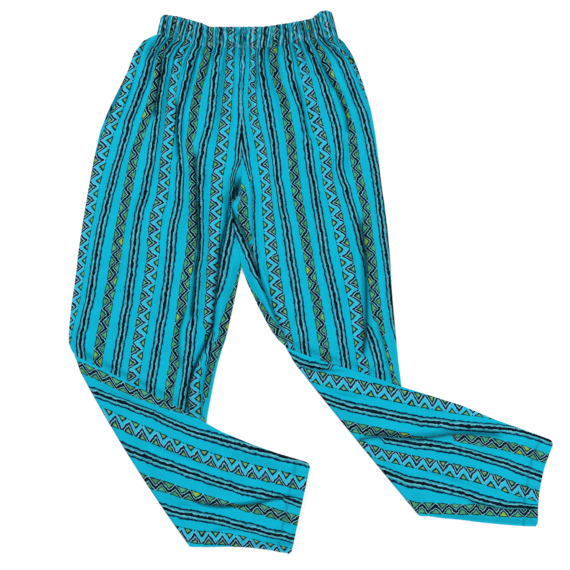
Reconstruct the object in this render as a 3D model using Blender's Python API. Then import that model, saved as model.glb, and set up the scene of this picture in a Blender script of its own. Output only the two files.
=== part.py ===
"""Printed pull-on trousers with a gathered elastic waist, laid flat on a surface, front up.

Each leg is folded over once at the knee along a slanting line, so that its lower part lies across
to the right with the back panel on top. Every cut piece is a closed wall of its own, worked out
from tables of garment measurements. Metres, +Z up, +X to the right, +Y towards the waist. The
origin is in the middle of the garment's outline, on the surface that it lies on.
"""

import math

import bmesh
import bpy
import numpy as np

MM = 0.001

# Cloth and how its layers lie on each other.
WALL = 1.0 * MM  # one panel
CASING_WALL = 2.2 * MM  # two layers of cloth with the elastic between them
GAP = 0.3 * MM  # between two pieces, at a seam or one on the other
CASING_GAP = 0.6 * MM  # between the casing and the gathered top of a panel
HEM_EXTRA = 0.6 * MM  # what the turned-up cloth adds to a panel at its hem
FOLD_HEIGHT = 11.0 * MM  # over all four layers, at the folded edge of a leg
STACK_HEIGHT = 4.4 * MM  # top of an upper leg where a lower leg lies on it
WAIST_LIFT = 1.8 * MM  # how far the casing holds the front panels up
UPPER_LOFT = 4.0 * MM  # air under the front panels of the upper legs
LOWER_LOFT = 2.4 * MM  # air between the two layers of the lower legs
EDGE_ROLL = 22.0 * MM  # width over which a panel comes down to its seam

# Gathers: how many each front panel has at the casing, how unevenly high they are (radians of a
# sine from one gather to the next), how high they stand and how far down the panel they reach.
GATHERS = {"left": 17, "right": 19}
UNEVEN_TURN = {"left": 1.7, "right": 1.3}
UNEVEN_SHARE = 0.35
RIB_HEIGHT = 1.3 * MM
RIB_AT_EDGE = 0.35  # of the rib height, at the casing's two edges
GATHER_HEIGHT = 1.3 * MM
GATHER_REACH = 75.0 * MM
BROAD_GATHER_HEIGHT = 1.1 * MM
BROAD_GATHER_START = 50.0 * MM  # over which they rise, below the casing seam
BROAD_GATHER_REACH = 210.0 * MM
SAG_ROWS = 6.0  # rows of the leg tables over which sections straighten below the casing
LIFT_HELD = 150.0 * MM  # down to here the casing and the pockets hold the front panels up
LIFT_GONE = 240.0 * MM

# Waist casing, measured from the middle of its seam: a row per station, from left to right.
# Columns: seam_x, seam_down, top_x, top_down, all in millimetres.
CASING = MM * np.array(
    [
        (-148, -26, -141, -56),
        (-141, -24, -134, -61),
        (-113, -15, -108, -57),
        (-69, -5, -68, -45.5),
        (-53, -3, -55, -39.5),
        (0, 0, 0, -39.5),
        (43, -2, 42, -40),
        (87, -9, 85, -46.5),
        (127, -17, 123, -54),
        (146, -19, 136.5, -66),
        (157, -19.6, 148, -68.5),
        (165, -20, 157.5, -65),
        (169.4, -20, 160.5, -56),
    ]
)

# Leg sections from the casing to the fold, a row each. Columns: side_out, side_down, inner_out,
# inner_down and bow, all in millimetres: out from the centre front, down from the casing seam,
# and how far the section bows down the leg in its middle. The inner seam is the centre front
# seam as far as row 12, the crotch, and the inside leg seam after it.
LEFT_UPPER = MM * np.array(
    [
        (148, -26, 0, 0, 0),
        (171, -15, 0, 15, 0),
        (188, 8, 0, 36, 0),
        (199, 39, 0, 60, 0),
        (213, 66, 0, 83, 0),
        (234, 109, 0, 120, 0),
        (247, 144, 0, 153, 0),
        (257, 188, 0, 193, 0),
        (268, 246, 0, 246, 0),
        (272, 270, 0, 268, 0),
        (279, 312, 0, 310, 0),
        (286, 360, 0, 360, 0),
        (288, 382, 0, 382, 0),
        (292, 412, 9, 424, 0),
        (297, 445, 18, 466, 0),
        (300, 473, 27, 505, 0),
        (302, 496, 39, 540, 0),
        (302, 512, 49, 585, 1),
        (299, 522, 59, 638, 3),
        (296, 528.5, 69, 710, 5),
        (293, 532, 79, 788, 6.5),
        (290.5, 534.6, 86, 864.5, 7.5),
    ]
)
RIGHT_UPPER = MM * np.array(
    [
        (169.4, -20, 0, 0, 0),
        (178.5, -14, 0, 15, 0),
        (195, 11, 0, 36, 0),
        (205.5, 39, 0, 60, 0),
        (214.5, 67, 0, 83, 0),
        (226, 106, 0, 120, 0),
        (233.5, 146, 0, 153, 0),
        (239, 188, 0, 193, 0),
        (246, 246, 0, 246, 0),
        (250, 270, 0, 268, 0),
        (255, 312, 0, 310, 0),
        (259.5, 360, 0, 360, 0),
        (261, 382, 0, 382, 0),
        (262.5, 417, 10.5, 410, 0),
        (266, 459, 29, 449, 0),
        (270, 501, 43, 476, 0),
        (274, 543, 54, 495, 0),
        (280, 592, 64, 508, 0),
        (288, 648, 71, 514.5, 0),
        (296, 701, 74.5, 517.5, 0.5),
        (304, 757, 76.5, 519.5, 1),
        (312, 807.6, 78, 521.5, 1.5),
    ]
)

# Leg sections from the fold to the hem, in the same columns. The hem's turn-up starts at the
# last row but one.
LEFT_LOWER = MM * np.array(
    [
        (290.5, 534.6, 86, 864.5, 7.5),
        (246, 557, 64, 867.5, 6),
        (195, 582, 41, 868.5, 4),
        (146, 608, 20, 869.5, 3),
        (90, 637, -1, 870.5, 2),
        (34, 669, -18, 872, 1),
        (-18.5, 691, -36, 874, 0),
        (-60, 705.5, -50, 876, 0),
        (-97, 716.5, -62.5, 878.5, 0),
        (-121, 724, -87, 882.5, 0),
    ]
)
RIGHT_LOWER = MM * np.array(
    [
        (312, 807.6, 78, 521.5, 1.5),
        (330, 813, 141, 545, 2),
        (354, 818.5, 211, 566, 2),
        (384, 823, 274, 588, 2),
        (410, 826.5, 330, 605.5, 3),
        (433, 829, 386, 623, 4),
        (454, 831, 443.5, 647.5, 6),
        (473.5, 832.5, 487.5, 663, 8),
        (493, 834, 523, 676, 9),
        (518, 834.4, 546.5, 685, 10),
    ]
)

# Above the crotch the front of the right leg laps over the left, so the centre front seam lies
# to the left of the middle. Columns: down, lap, in millimetres.
CENTRE_LAP = MM * np.array([(246, 0), (268, 18), (310, 14), (360, 3), (382, 0)])

# The edge of each upper leg that the lower leg hides, along which that steps down to the floor.
# Columns: out, down of its two ends, in millimetres.
LEFT_HIDDEN_EDGE = MM * np.array([(55, 600), (86, 864)])
RIGHT_HIDDEN_EDGE = MM * np.array([(280, 592), (312, 808)])
STEP_WIDTH = 28.0 * MM
STEP_START = 2.0 * MM  # past the hidden edge
SETTLE_LENGTH = 52.0 * MM  # from the folded edge to where the layers lie down
FOLD_EASE = 30.0 * MM  # from the folded edge to where the cloth's relief is whole
COVER_START = 3.0 * MM  # past the lower leg's edge, where the upper leg starts to rise
COVER_WIDTH = 20.0 * MM
PRESSED = 0.2  # share of its relief that the upper leg keeps under the lower leg
PARTING = (10.5, 13.0)  # places between which the inner seam turns from a seam to an edge

# Pockets in the side seams: where their openings start and end down the leg, as places in the
# tables above, how far the front panel's edge stands back there, and the facing that this shows.
POCKETS = {"left": (3.4, 5.7, 8.0 * MM), "right": (0.2, 3.5, 10.0 * MM)}
FACING_WIDTH = 34.0 * MM
FACING_OVERRUN = 0.5  # of a place in the tables, past each end of the opening
FACING_ENDS = (0.15, 0.85)  # of half a turn, between which the facing's inner edge is rounded
INSET_REACH = 60.0 * MM  # how far into the panel its set-back edge shifts it

# Largest folds, a row each. Columns: out_a, down_a, out_b, down_b, half_width, height, in
# millimetres; a trough has a height below nothing.
LEFT_FRONT_FOLDS = MM * np.array(
    [
        (90, 193, 74, 316, 9, -3),
        (74, 316, 76, 447, 9, -3.5),
        (58, 237, 53, 438, 10, 3),
        (26, 262, 36, 346, 7, -4),
        (36, 346, 45, 421, 7, -4),
        (45, 421, 53, 526, 8, -3),
        (105, 160, 128, 168, 8, -1.5),
    ]
)
RIGHT_FRONT_FOLDS = MM * np.array(
    [
        (-12, 272, 1, 360, 9, 4.5),
        (22, 263, 31, 400, 6, -2.5),
        (43, 263, 50, 421, 10, 1.5),
        (209, 307, 214, 526, 9, -4),
        (190, 316, 193, 526, 10, 2),
        (232, 325, 241, 526, 8, 2),
        (168, 220, 186, 232, 8, -1.5),
    ]
)
LEFT_BACK_FOLDS = MM * np.array(
    [
        (73, 797, -6, 788, 8, -2.2),
        (-24, 782, -88, 787, 9, 2.2),
        (120, 852, 28, 842, 8, 1.2),
    ]
)
RIGHT_BACK_FOLDS = MM * np.array(
    [
        (242, 664, 383, 662, 10, 4),
        (250, 682, 378, 679, 8, -3),
        (86, 540, 182, 566, 8, 2.5),
        (268, 745, 300, 770, 8, -1.5),
    ]
)

CLOTH_COLOUR = (0.0, 0.45, 0.68, 1.0)
FACING_COLOUR = (0.0, 0.22, 0.3, 1.0)
CLOTH_ROUGHNESS = 0.85

LEGS = {
    "left": {
        "outward": -1.0,
        "upper": LEFT_UPPER,
        "lower": LEFT_LOWER,
        "hidden_edge": LEFT_HIDDEN_EDGE,
        "front_folds": LEFT_FRONT_FOLDS,
        "back_folds": LEFT_BACK_FOLDS,
    },
    "right": {
        "outward": 1.0,
        "upper": RIGHT_UPPER,
        "lower": RIGHT_LOWER,
        "hidden_edge": RIGHT_HIDDEN_EDGE,
        "front_folds": RIGHT_FRONT_FOLDS,
        "back_folds": RIGHT_BACK_FOLDS,
    },
}
FOLD_PLACE = len(LEFT_UPPER) - 1
LOWER_START = FOLD_PLACE + 1
HEM_PLACE = LOWER_START + len(LEFT_LOWER) - 1
HEM_STEP = 0.06  # of a row, over which the wall thickens where the hem is turned
STEP = 0.002  # difference in place and across that normals are taken over
ALIKE = 1e-9  # two fractions this close count as the same
FLOOR_EASE = 0.4 * MM  # how softly relief is cut off where it would go below nothing
SHARP_ANGLE = math.radians(50.0)

BACK_CELLS = 8  # across a back panel where it lies flat
FACING_CELLS = (8, 3)  # along and across

# Rows from the folded edge to the hem as (place, cells), the same for both layers of a leg, so
# that they keep their distance.
FOLDED_CELLS = 14
FOLDED_PLACES = (
    [FOLD_PLACE + 0.25 * turn for turn in range(4)]
    + [0.5 * step for step in range(2 * LOWER_START, 2 * HEM_PLACE - 1)]
    + [HEM_PLACE - 1.0 + HEM_STEP, HEM_PLACE]
)
FOLDED_ROWS = [(place, FOLDED_CELLS) for place in FOLDED_PLACES]


def smooth(value):
    """A rise from 0 to 1 that starts and ends level, over values from 0 to 1."""
    value = np.clip(value, 0.0, 1.0)
    return value * value * (3.0 - 2.0 * value)


def casing_seam_down(x):
    """How far down the casing seam is at a distance x to the right of its middle."""
    return np.interp(x, CASING[:, 0], CASING[:, 1])


def section_points(table, place, across):
    """Out and down of points a fraction across from the side seam to the inner seam: on the
    straight line between the two seams, plus a parabola bowed to the line's outer side."""
    rows = np.arange(len(table))
    side_out, side_down, inner_out, inner_down, bow = (
        np.interp(place, rows, table[:, column]) for column in range(table.shape[1])
    )
    run_out = inner_out - side_out
    run_down = inner_down - side_down
    length = np.hypot(run_out, run_down)
    bulge = bow * 4.0 * across * (1.0 - across) / length
    out = side_out + run_out * across + run_down * bulge
    down = side_down + run_down * across - run_out * bulge
    return out, down, length


def seam_sag(leg, place, across):
    """Extra drop that makes the top of a panel follow the casing seam, fading below it."""
    side_out, side_down = leg["upper"][0, :2]
    seam_x = leg["outward"] * side_out * (1.0 - across)
    straight_down = side_down * (1.0 - across)
    fade = 1.0 - smooth(place / SAG_ROWS)
    return (casing_seam_down(seam_x) - straight_down) * fade


def fold_normal(leg):
    """The direction, as out and down, that the folded edge of a leg faces."""
    side_out, side_down, inner_out, inner_down = leg["upper"][-1, :4]
    run_out = inner_out - side_out
    run_down = inner_down - side_down
    length = math.hypot(run_out, run_down)
    return run_down / length, -run_out / length


def distance_from_fold(leg, out, down):
    """Distance of a point from the folded edge's axis, in towards the cloth."""
    normal_out, normal_down = fold_normal(leg)
    side_out, side_down = leg["upper"][-1, :2]
    return -((out - side_out) * normal_out + (down - side_down) * normal_down)


def covered(leg, out, down):
    """1 where a lower leg lies on an upper leg, falling to 0 past its edge, which is the side
    seam of the left leg and the inside leg seam of the right."""
    first = 0 if leg["outward"] < 0.0 else 2
    edge_x = leg["outward"] * leg["lower"][:, first]
    edge_down = np.interp(leg["outward"] * out, edge_x, leg["lower"][:, first + 1])
    return 1.0 - smooth((edge_down - down - COVER_START) / COVER_WIDTH)


def fold_relief(folds, out, down):
    """Sum of the folds in a table: each is its height times a bell curve of the distance from
    the line between its two ends."""
    relief = np.zeros_like(out)
    for out_a, down_a, out_b, down_b, half_width, height in folds:
        run_out = out_b - out_a
        run_down = down_b - down_a
        share = (out - out_a) * run_out + (down - down_a) * run_down
        share = np.clip(share / (run_out**2 + run_down**2), 0.0, 1.0)
        away_out = out - out_a - share * run_out
        away_down = down - down_a - share * run_down
        relief += height * np.exp(-(away_out**2 + away_down**2) / half_width**2)
    return relief


def soft_floor(height):
    """The height itself where it is well above nothing, easing to nothing where it is below."""
    return 0.5 * (height + np.sqrt(height**2 + FLOOR_EASE**2) - FLOOR_EASE)


def gather_relief(leg, side, place, across):
    """Gathers under the casing: one cosine wave for each of the casing's, then one for every
    two, each fading down the panel, and uneven by a slow sine counted from the centre."""
    down = np.interp(place, np.arange(len(leg["upper"])), leg["upper"][:, 3])
    turns = GATHERS[side] * (1.0 - across)
    uneven = 1.0 + UNEVEN_SHARE * np.sin(UNEVEN_TURN[side] * turns)
    narrow = GATHER_HEIGHT * (1.0 - smooth(down / GATHER_REACH))
    rise = smooth(down / BROAD_GATHER_START)
    fall = smooth((down - BROAD_GATHER_START) / (BROAD_GATHER_REACH - BROAD_GATHER_START))
    broad = BROAD_GATHER_HEIGHT * rise * (1.0 - fall)
    waves = narrow * np.cos(2.0 * math.pi * turns) + broad * np.cos(math.pi * turns)
    return waves * uneven


def front_upper_height(leg, side, place, across, out, down, length):
    """Middle of the front panel's wall over the floor, from the casing to the folded edge."""
    from_side = smooth(across * length / EDGE_ROLL)
    from_inner = smooth((1.0 - across) * length / EDGE_ROLL)
    legs_apart = smooth((place - PARTING[0]) / (PARTING[1] - PARTING[0]))
    from_inner = 1.0 - legs_apart * (1.0 - from_inner)
    settled = smooth(distance_from_fold(leg, out, down) / FOLD_EASE)
    pressed = 1.0 - (1.0 - PRESSED) * covered(leg, out, down)
    shape = from_side * from_inner * settled * pressed
    relief = UPPER_LOFT * shape + fold_relief(leg["front_folds"], out, down) * shape
    relief = relief + gather_relief(leg, side, place, across) * from_side
    lift = WAIST_LIFT * (1.0 - smooth((down - LIFT_HELD) / (LIFT_GONE - LIFT_HELD)))
    return 1.5 * WALL + GAP + lift + soft_floor(relief)


def front_lower_height(leg, out, down, wall):
    """Middle of the front panel's wall past the fold: on the upper leg, and then on the floor."""
    (out_a, down_a), (out_b, down_b) = leg["hidden_edge"]
    edge_out = out_a + (out_b - out_a) * (down - down_a) / (down_b - down_a)
    beyond = leg["outward"] * (out - edge_out)
    step = 1.0 - smooth((beyond - STEP_START) / STEP_WIDTH)
    rest = STACK_HEIGHT * step
    fold_bottom = FOLD_HEIGHT - 2.0 * WALL - GAP
    settled = smooth(distance_from_fold(leg, out, down) / SETTLE_LENGTH)
    return fold_bottom + (rest - fold_bottom) * settled + 0.5 * wall


def back_lower_height(leg, across, out, down, length, wall):
    """Middle of the back panel's wall past the fold, where it is the upper layer."""
    from_side = smooth(across * length / EDGE_ROLL)
    from_inner = smooth((1.0 - across) * length / EDGE_ROLL)
    settled = smooth(distance_from_fold(leg, out, down) / FOLD_EASE)
    shape = from_side * from_inner * settled
    puff = LOWER_LOFT * shape + fold_relief(leg["back_folds"], out, down) * shape
    return front_lower_height(leg, out, down, wall) + wall + GAP + soft_floor(puff)


def hem_wall(place):
    """Thickness of a panel's wall, which steps up where its hem is turned."""
    turned = np.clip((place - HEM_PLACE + 1.0) / HEM_STEP, 0.0, 1.0)
    return WALL + HEM_EXTRA * turned


def panel_middle(side, layer, place, across):
    """Points in the middle of a leg panel's wall. From place 0 to FOLD_PLACE they run down the
    upper leg, up to LOWER_START half a turn round the folded edge, and then down to the hem."""
    leg = LEGS[side]
    upper = section_points(leg["upper"], place, across)
    lower = section_points(leg["lower"], place - LOWER_START, across)
    turned = place >= LOWER_START
    out = np.where(turned, lower[0], upper[0])
    down = np.where(turned, lower[1], upper[1] + seam_sag(leg, place, across))
    length = np.where(turned, lower[2], upper[2])
    wall = hem_wall(place)

    if layer == "front":
        inset = pocket_inset(side, place) * (1.0 - smooth(across * length / INSET_REACH))
        lap = np.interp(down, CENTRE_LAP[:, 0], CENTRE_LAP[:, 1]) * across
        out = out - inset - leg["outward"] * lap
        before = front_upper_height(leg, side, place, across, out, down, length)
        after = front_lower_height(leg, out, down, wall)
        radius = 0.5 * FOLD_HEIGHT - 1.5 * WALL - GAP
    else:
        before = np.full_like(out, 0.5 * WALL)
        after = back_lower_height(leg, across, out, down, length, wall)
        radius = 0.5 * (FOLD_HEIGHT - WALL)

    angle = math.pi * (np.clip(place - FOLD_PLACE, 0.0, 1.0) - 0.5)
    normal_out, normal_down = fold_normal(leg)
    out = out + normal_out * radius * np.cos(angle)
    down = down + normal_down * radius * np.cos(angle)
    bending = (place > FOLD_PLACE) & (place < LOWER_START)
    height = np.where(turned, after, before)
    height = np.where(bending, 0.5 * FOLD_HEIGHT + radius * np.sin(angle), height)
    x = leg["outward"] * (out + 0.5 * GAP)
    y = -down - CASING_GAP * (1.0 - np.clip(place, 0.0, 1.0))
    return np.stack((x, y, height), axis=-1)


def pocket_inset(side, place):
    """How far the front panel's edge stands back at the pocket opening: an arch over it."""
    first, last, depth = POCKETS[side]
    share = np.clip((place - first) / (last - first), 0.0, 1.0)
    return depth * np.sin(math.pi * share)


def unit_normals(surface, place, across):
    """Normals of a surface from the cross product of its two slopes, upright at the casing."""
    first = np.maximum(place - STEP, 0.0)
    last = np.minimum(place + STEP, HEM_PLACE)
    left = np.maximum(across - STEP, 0.0)
    right = np.minimum(across + STEP, 1.0)
    along = surface(last, across) - surface(first, across)
    sideways = surface(place, right) - surface(place, left)
    normal = np.cross(along, sideways)
    normal[..., :2] *= smooth(place)[..., None]
    return normal / np.linalg.norm(normal, axis=-1, keepdims=True)


def panel_side(side, layer, face):
    """The surface half a wall to one side of a leg panel's middle."""

    def middle(place, across):
        return panel_middle(side, layer, place, across)

    def surface(place, across):
        half = 0.5 * face * hem_wall(place)[..., None]
        return middle(place, across) + unit_normals(middle, place, across) * half

    return surface


def casing_surface(base, rib_height):
    """The surface of a casing half: place runs from the seam to the top edge, across from left
    to right, and the ribs are raised cosine waves, one for each gather, low at both edges."""

    def surface(place, across):
        gather = across * (GATHERS["left"] + GATHERS["right"])
        ends = (0.0, GATHERS["left"], GATHERS["left"] + GATHERS["right"])
        seam_x = np.interp(gather, ends, (CASING[0, 0], 0.0, CASING[-1, 0]))
        seam_down, top_x, top_down = (
            np.interp(seam_x, CASING[:, 0], CASING[:, column]) for column in (1, 2, 3)
        )
        x = seam_x + (top_x - seam_x) * place
        down = seam_down + (top_down - seam_down) * place
        ribs = 0.5 + 0.5 * np.cos(2.0 * math.pi * gather)
        swell = RIB_AT_EDGE + (1.0 - RIB_AT_EDGE) * np.sin(math.pi * place)
        height = base + rib_height * ribs * swell
        return np.stack((x, -down, height), axis=-1)

    return surface


def facing_surface(side, height):
    """A strip on the back panel behind a pocket opening, just inside the side seam."""
    first, last, _ = POCKETS[side]
    first = max(first - FACING_OVERRUN, FACING_OVERRUN)
    last = last + FACING_OVERRUN
    leg = LEGS[side]

    def surface(place, across):
        level = first + (last - first) * place
        rounded = np.sin(math.pi * (FACING_ENDS[0] + (FACING_ENDS[1] - FACING_ENDS[0]) * place))
        length = section_points(leg["upper"], level, across)[2]
        share = (GAP + across * FACING_WIDTH * rounded) / length
        out, down, _ = section_points(leg["upper"], level, share)
        down = down + seam_sag(leg, level, share)
        return np.stack((leg["outward"] * out, -down, np.full_like(out, height)), axis=-1)

    return surface


def zip_chains(chain_a, chain_b):
    """Triangles between two chains of (vertex, fraction along), each step taken on the chain
    that is behind."""
    triangles = []
    a = 0
    b = 0
    while a < len(chain_a) - 1 or b < len(chain_b) - 1:
        step_a = b == len(chain_b) - 1
        if a < len(chain_a) - 1 and not step_a:
            step_a = chain_a[a + 1][1] <= chain_b[b + 1][1] + ALIKE
        if step_a:
            triangles.append((chain_a[a][0], chain_a[a + 1][0], chain_b[b][0]))
            a += 1
        else:
            triangles.append((chain_a[a][0], chain_b[b + 1][0], chain_b[b][0]))
            b += 1
    return triangles


def sheet_mesh(surface, rows, vertices, faces):
    """Add a surface's grid to a mesh, a row for each (place, cells), and return the chains of
    its four sides."""
    chains = []
    for place, cells in rows:
        across = np.linspace(0.0, 1.0, cells + 1)
        points = surface(np.full(cells + 1, float(place)), across)
        start = len(vertices)
        vertices.extend(map(tuple, points))
        chains.append([(start + k, across[k]) for k in range(cells + 1)])
    for upper, lower in zip(chains, chains[1:]):
        faces.extend(zip_chains(upper, lower))
    span = rows[-1][0] - rows[0][0]
    left = [(c[0][0], (p - rows[0][0]) / span) for c, (p, _) in zip(chains, rows)]
    right = [(c[-1][0], (p - rows[0][0]) / span) for c, (p, _) in zip(chains, rows)]
    return chains[0], chains[-1], left, right


def cloth_material(name, colour):
    """Matt printed cloth."""
    material = bpy.data.materials.new(name)
    material.use_nodes = True
    shader = material.node_tree.nodes["Principled BSDF"]
    shader.inputs["Base Color"].default_value = colour
    shader.inputs["Roughness"].default_value = CLOTH_ROUGHNESS
    shader.inputs["Metallic"].default_value = 0.0
    return material


def wall_object(name, outer, outer_rows, inner, inner_rows, colour):
    """A closed wall: its two sides, and a rim that zips each edge of one to the other."""
    vertices = []
    faces = []
    outer_edges = sheet_mesh(outer, outer_rows, vertices, faces)
    inner_edges = sheet_mesh(inner, inner_rows, vertices, faces)
    for outer_edge, inner_edge in zip(outer_edges, inner_edges):
        faces.extend(zip_chains(outer_edge, inner_edge))
    mesh = bpy.data.meshes.new(name)
    mesh.from_pydata(vertices, [], faces)
    face_out(mesh)
    mesh.shade_smooth()
    mesh.set_sharp_from_angle(angle=SHARP_ANGLE)
    mesh.materials.append(cloth_material(name + "_cloth", colour))
    piece = bpy.data.objects.new(name, mesh)
    bpy.context.collection.objects.link(piece)
    return piece


def face_out(mesh):
    """Turn every face of a closed mesh to point out."""
    shape = bmesh.new()
    shape.from_mesh(mesh)
    bmesh.ops.recalc_face_normals(shape, faces=shape.faces)
    shape.to_mesh(mesh)
    shape.free()


def front_rows(side):
    """Rows of a front panel: four cells to a gather under the casing, then two, then one."""
    gathers = GATHERS[side]
    rows = [(place, 4 * gathers) for place in (0.0, 0.7, 1.5, 2.3)]
    rows += [(place, 2 * gathers) for place in (3.0, 3.7, 4.4, 5.2, 6.0)]
    rows += [(place, gathers) for place in range(7, FOLD_PLACE)]
    return rows + FOLDED_ROWS


def back_rows(side):
    """Rows of a back panel: a cell to a gather at the casing, and few where it lies flat."""
    rows = [(0, GATHERS[side])]
    rows += [(place, BACK_CELLS) for place in range(1, FOLD_PLACE)]
    return rows + FOLDED_ROWS


def make_leg_panels():
    """The front and back panel of each leg."""
    for side in ("left", "right"):
        for layer, rows in (("front", front_rows(side)), ("back", back_rows(side))):
            wall_object(
                f"{layer}_{side}",
                panel_side(side, layer, 1.0),
                rows,
                panel_side(side, layer, -1.0),
                rows,
                CLOTH_COLOUR,
            )


def make_casing():
    """The two halves of the waist casing, the front one ribbed by its elastic."""
    gathers = GATHERS["left"] + GATHERS["right"]
    ribbed_rows = [(place, 4 * gathers) for place in (0.0, 0.3, 0.7, 1.0)]
    plain_rows = [(place, gathers) for place in (0.0, 1.0)]
    base = CASING_WALL + GAP
    wall_object(
        "waistband_front",
        casing_surface(base + CASING_WALL, RIB_HEIGHT),
        ribbed_rows,
        casing_surface(base, 0.0),
        plain_rows,
        CLOTH_COLOUR,
    )
    wall_object(
        "waistband_back",
        casing_surface(CASING_WALL, 0.0),
        plain_rows,
        casing_surface(0.0, 0.0),
        plain_rows,
        CLOTH_COLOUR,
    )


def make_pocket_facings():
    """A facing behind each pocket opening, between the back panel and the front panel."""
    along, across = FACING_CELLS
    rows = [(place, across) for place in np.linspace(0.0, 1.0, along + 1)]
    bottom = WALL + GAP
    for side in ("left", "right"):
        wall_object(
            f"pocket_facing_{side}",
            facing_surface(side, bottom + WALL),
            rows,
            facing_surface(side, bottom),
            rows,
            FACING_COLOUR,
        )


def centre_on_origin():
    """Move every mesh so that the middle of the garment's outline is over the origin."""
    pieces = [piece for piece in bpy.data.objects if piece.type == "MESH"]
    points = {}
    for piece in pieces:
        flat = np.empty(3 * len(piece.data.vertices))
        piece.data.vertices.foreach_get("co", flat)
        points[piece] = flat.reshape(-1, 3)
    every = np.concatenate(list(points.values()))
    low = every.min(axis=0)
    high = every.max(axis=0)
    shift = np.array([-(low[0] + high[0]) / 2.0, -(low[1] + high[1]) / 2.0, -low[2]])
    for piece, place in points.items():
        piece.data.vertices.foreach_set("co", (place + shift).ravel())
        piece.data.update()


def main():
    """Clear the scene and build the trousers."""
    for old in list(bpy.data.objects):
        bpy.data.objects.remove(old, do_unlink=True)
    make_casing()
    make_leg_panels()
    make_pocket_facings()
    centre_on_origin()


main()
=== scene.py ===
"""Printed pull-on trousers with a gathered elastic waist, laid flat, each lower leg folded across.

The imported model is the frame. Every cut piece is worked out here again as thin cloth with finer
gathers and creases, in the frame's own metres: +Z up, +X to the right, +Y towards the waist. The
stripes of the print follow the cloth through the piece's own UV map, whose u is the number of the
stripe, counted out from the centre front, and whose v is the length along it in metres.
"""

import math

import bpy
import numpy as np
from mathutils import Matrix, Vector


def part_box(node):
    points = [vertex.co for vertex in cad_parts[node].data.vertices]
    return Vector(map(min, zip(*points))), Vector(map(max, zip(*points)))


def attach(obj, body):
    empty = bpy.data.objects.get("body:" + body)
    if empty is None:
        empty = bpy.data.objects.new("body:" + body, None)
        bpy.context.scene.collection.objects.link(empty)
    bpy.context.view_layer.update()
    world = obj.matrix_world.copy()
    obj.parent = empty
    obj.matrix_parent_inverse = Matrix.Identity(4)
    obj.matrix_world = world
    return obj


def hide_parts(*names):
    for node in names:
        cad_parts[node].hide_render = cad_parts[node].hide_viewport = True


bl_info = {
    "name": "Printed pull-on trousers",
    "version": (1, 0, 0),
    "blender": (4, 5, 0),
    "location": "View3D > Sidebar > Trousers",
    "description": "Dresses the packed trousers in gathered, creased and printed cloth",
    "category": "Object",
}

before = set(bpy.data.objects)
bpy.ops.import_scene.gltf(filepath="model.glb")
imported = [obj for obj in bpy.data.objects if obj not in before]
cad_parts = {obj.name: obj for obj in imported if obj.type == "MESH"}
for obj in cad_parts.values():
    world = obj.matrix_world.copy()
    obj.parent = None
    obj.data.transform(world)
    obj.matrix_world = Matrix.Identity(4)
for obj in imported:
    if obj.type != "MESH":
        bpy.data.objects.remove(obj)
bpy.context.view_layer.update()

MM = 0.001

# The photograph's scale, and the middle of the waist seam and of the square picture, in pixels.
PHOTO_SCALE = 1.75 * MM
CENTRE_PX = (241.5, 49.5)
PHOTO_MIDDLE_PX = 285.0

# Left end and top of the waist casing from the middle of its seam, which the frame's own box of
# that node gives back as the place of the seam's middle.
CASING_LEFT = -148.0 * MM
CASING_TOP = 68.5 * MM
SEAM_MIDDLE = (
    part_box("waistband_front")[0].x - CASING_LEFT,
    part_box("waistband_front")[1].y - CASING_TOP,
)

# How the layers lie on each other, as in the frame.
LAYER = 1.0 * MM
GAP = 0.3 * MM
CASING_WALL = 2.2 * MM
CASING_GAP = 0.1 * MM
FOLD_HEIGHT = 11.0 * MM
STACK_HEIGHT = 4.4 * MM  # top of an upper leg where a lower leg lies on it
WAIST_LIFT = 1.8 * MM  # how far the casing holds the front panels up
LIFT_HELD = 150.0 * MM  # and down to where it holds them
LIFT_FADE = 90.0 * MM
EDGE_ROLL = 16.0 * MM  # width over which a panel comes down to its seam
SAG_ROWS = 6.0  # rows of the leg tables over which sections straighten below the casing
PARTING = (10.5, 13.0)  # rows between which the inner seam turns from a seam to an edge
FOLD_EASE = 30.0 * MM  # from the folded edge to where the cloth's relief is whole
FOLD_TAPER = 34.0 * MM  # length over which a fold is pinched at its upper end
FOLD_CORNER = 16.0 * MM  # and pulled out to a sharp corner at its lower end
SETTLE_LENGTH = 52.0 * MM  # from the folded edge to where the layers lie down
STEP_START = 2.0 * MM  # past the edge that the lower leg hides
STEP_WIDTH = 28.0 * MM
COVER_START = 3.0 * MM  # past the lower leg's edge, where the upper leg starts to rise
COVER_WIDTH = 16.0 * MM
PRESSED = 0.2  # share of its relief that the upper leg keeps under the lower leg
LAP_HEIGHT = 1.6 * MM  # rise of the right front where it laps over the left
LAP_MIDDLE = (305.0 * MM, 85.0 * MM)  # down from the casing, and half its length

GATHERS = 36
GATHER_START = {"left": 0.0, "right": 1.9}
CASING_EDGE = {"front": 1.2 * MM, "back": 0.6 * MM}  # how far its top edge is rounded down
CASING_PUFF = 1.4 * MM
FINE_RIB = 0.45 * MM
SCALLOP = 0.9 * MM  # of the ribs' ends along the top edge
CASING_CELLS = {"front": (24, 12, 0.44), "back": (8, 2, 0.38)}  # rows, a gather's columns, width

# Waist casing, measured from the middle of its seam: a row per station, from left to right.
# Columns: seam_x, seam_down, top_x, top_down, all in millimetres.
CASING = MM * np.array(
    [
        (-148, -26, -141, -56),
        (-141, -24, -134, -61),
        (-113, -15, -108, -57),
        (-69, -5, -68, -45.5),
        (-53, -3, -55, -39.5),
        (0, 0, 0, -39.5),
        (43, -2, 42, -40),
        (87, -9, 85, -46.5),
        (127, -17, 123, -54),
        (146, -19, 136.5, -66),
        (157, -19.6, 148, -68.5),
        (165, -20, 157.5, -65),
        (169.4, -20, 160.5, -56),
    ]
)

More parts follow.
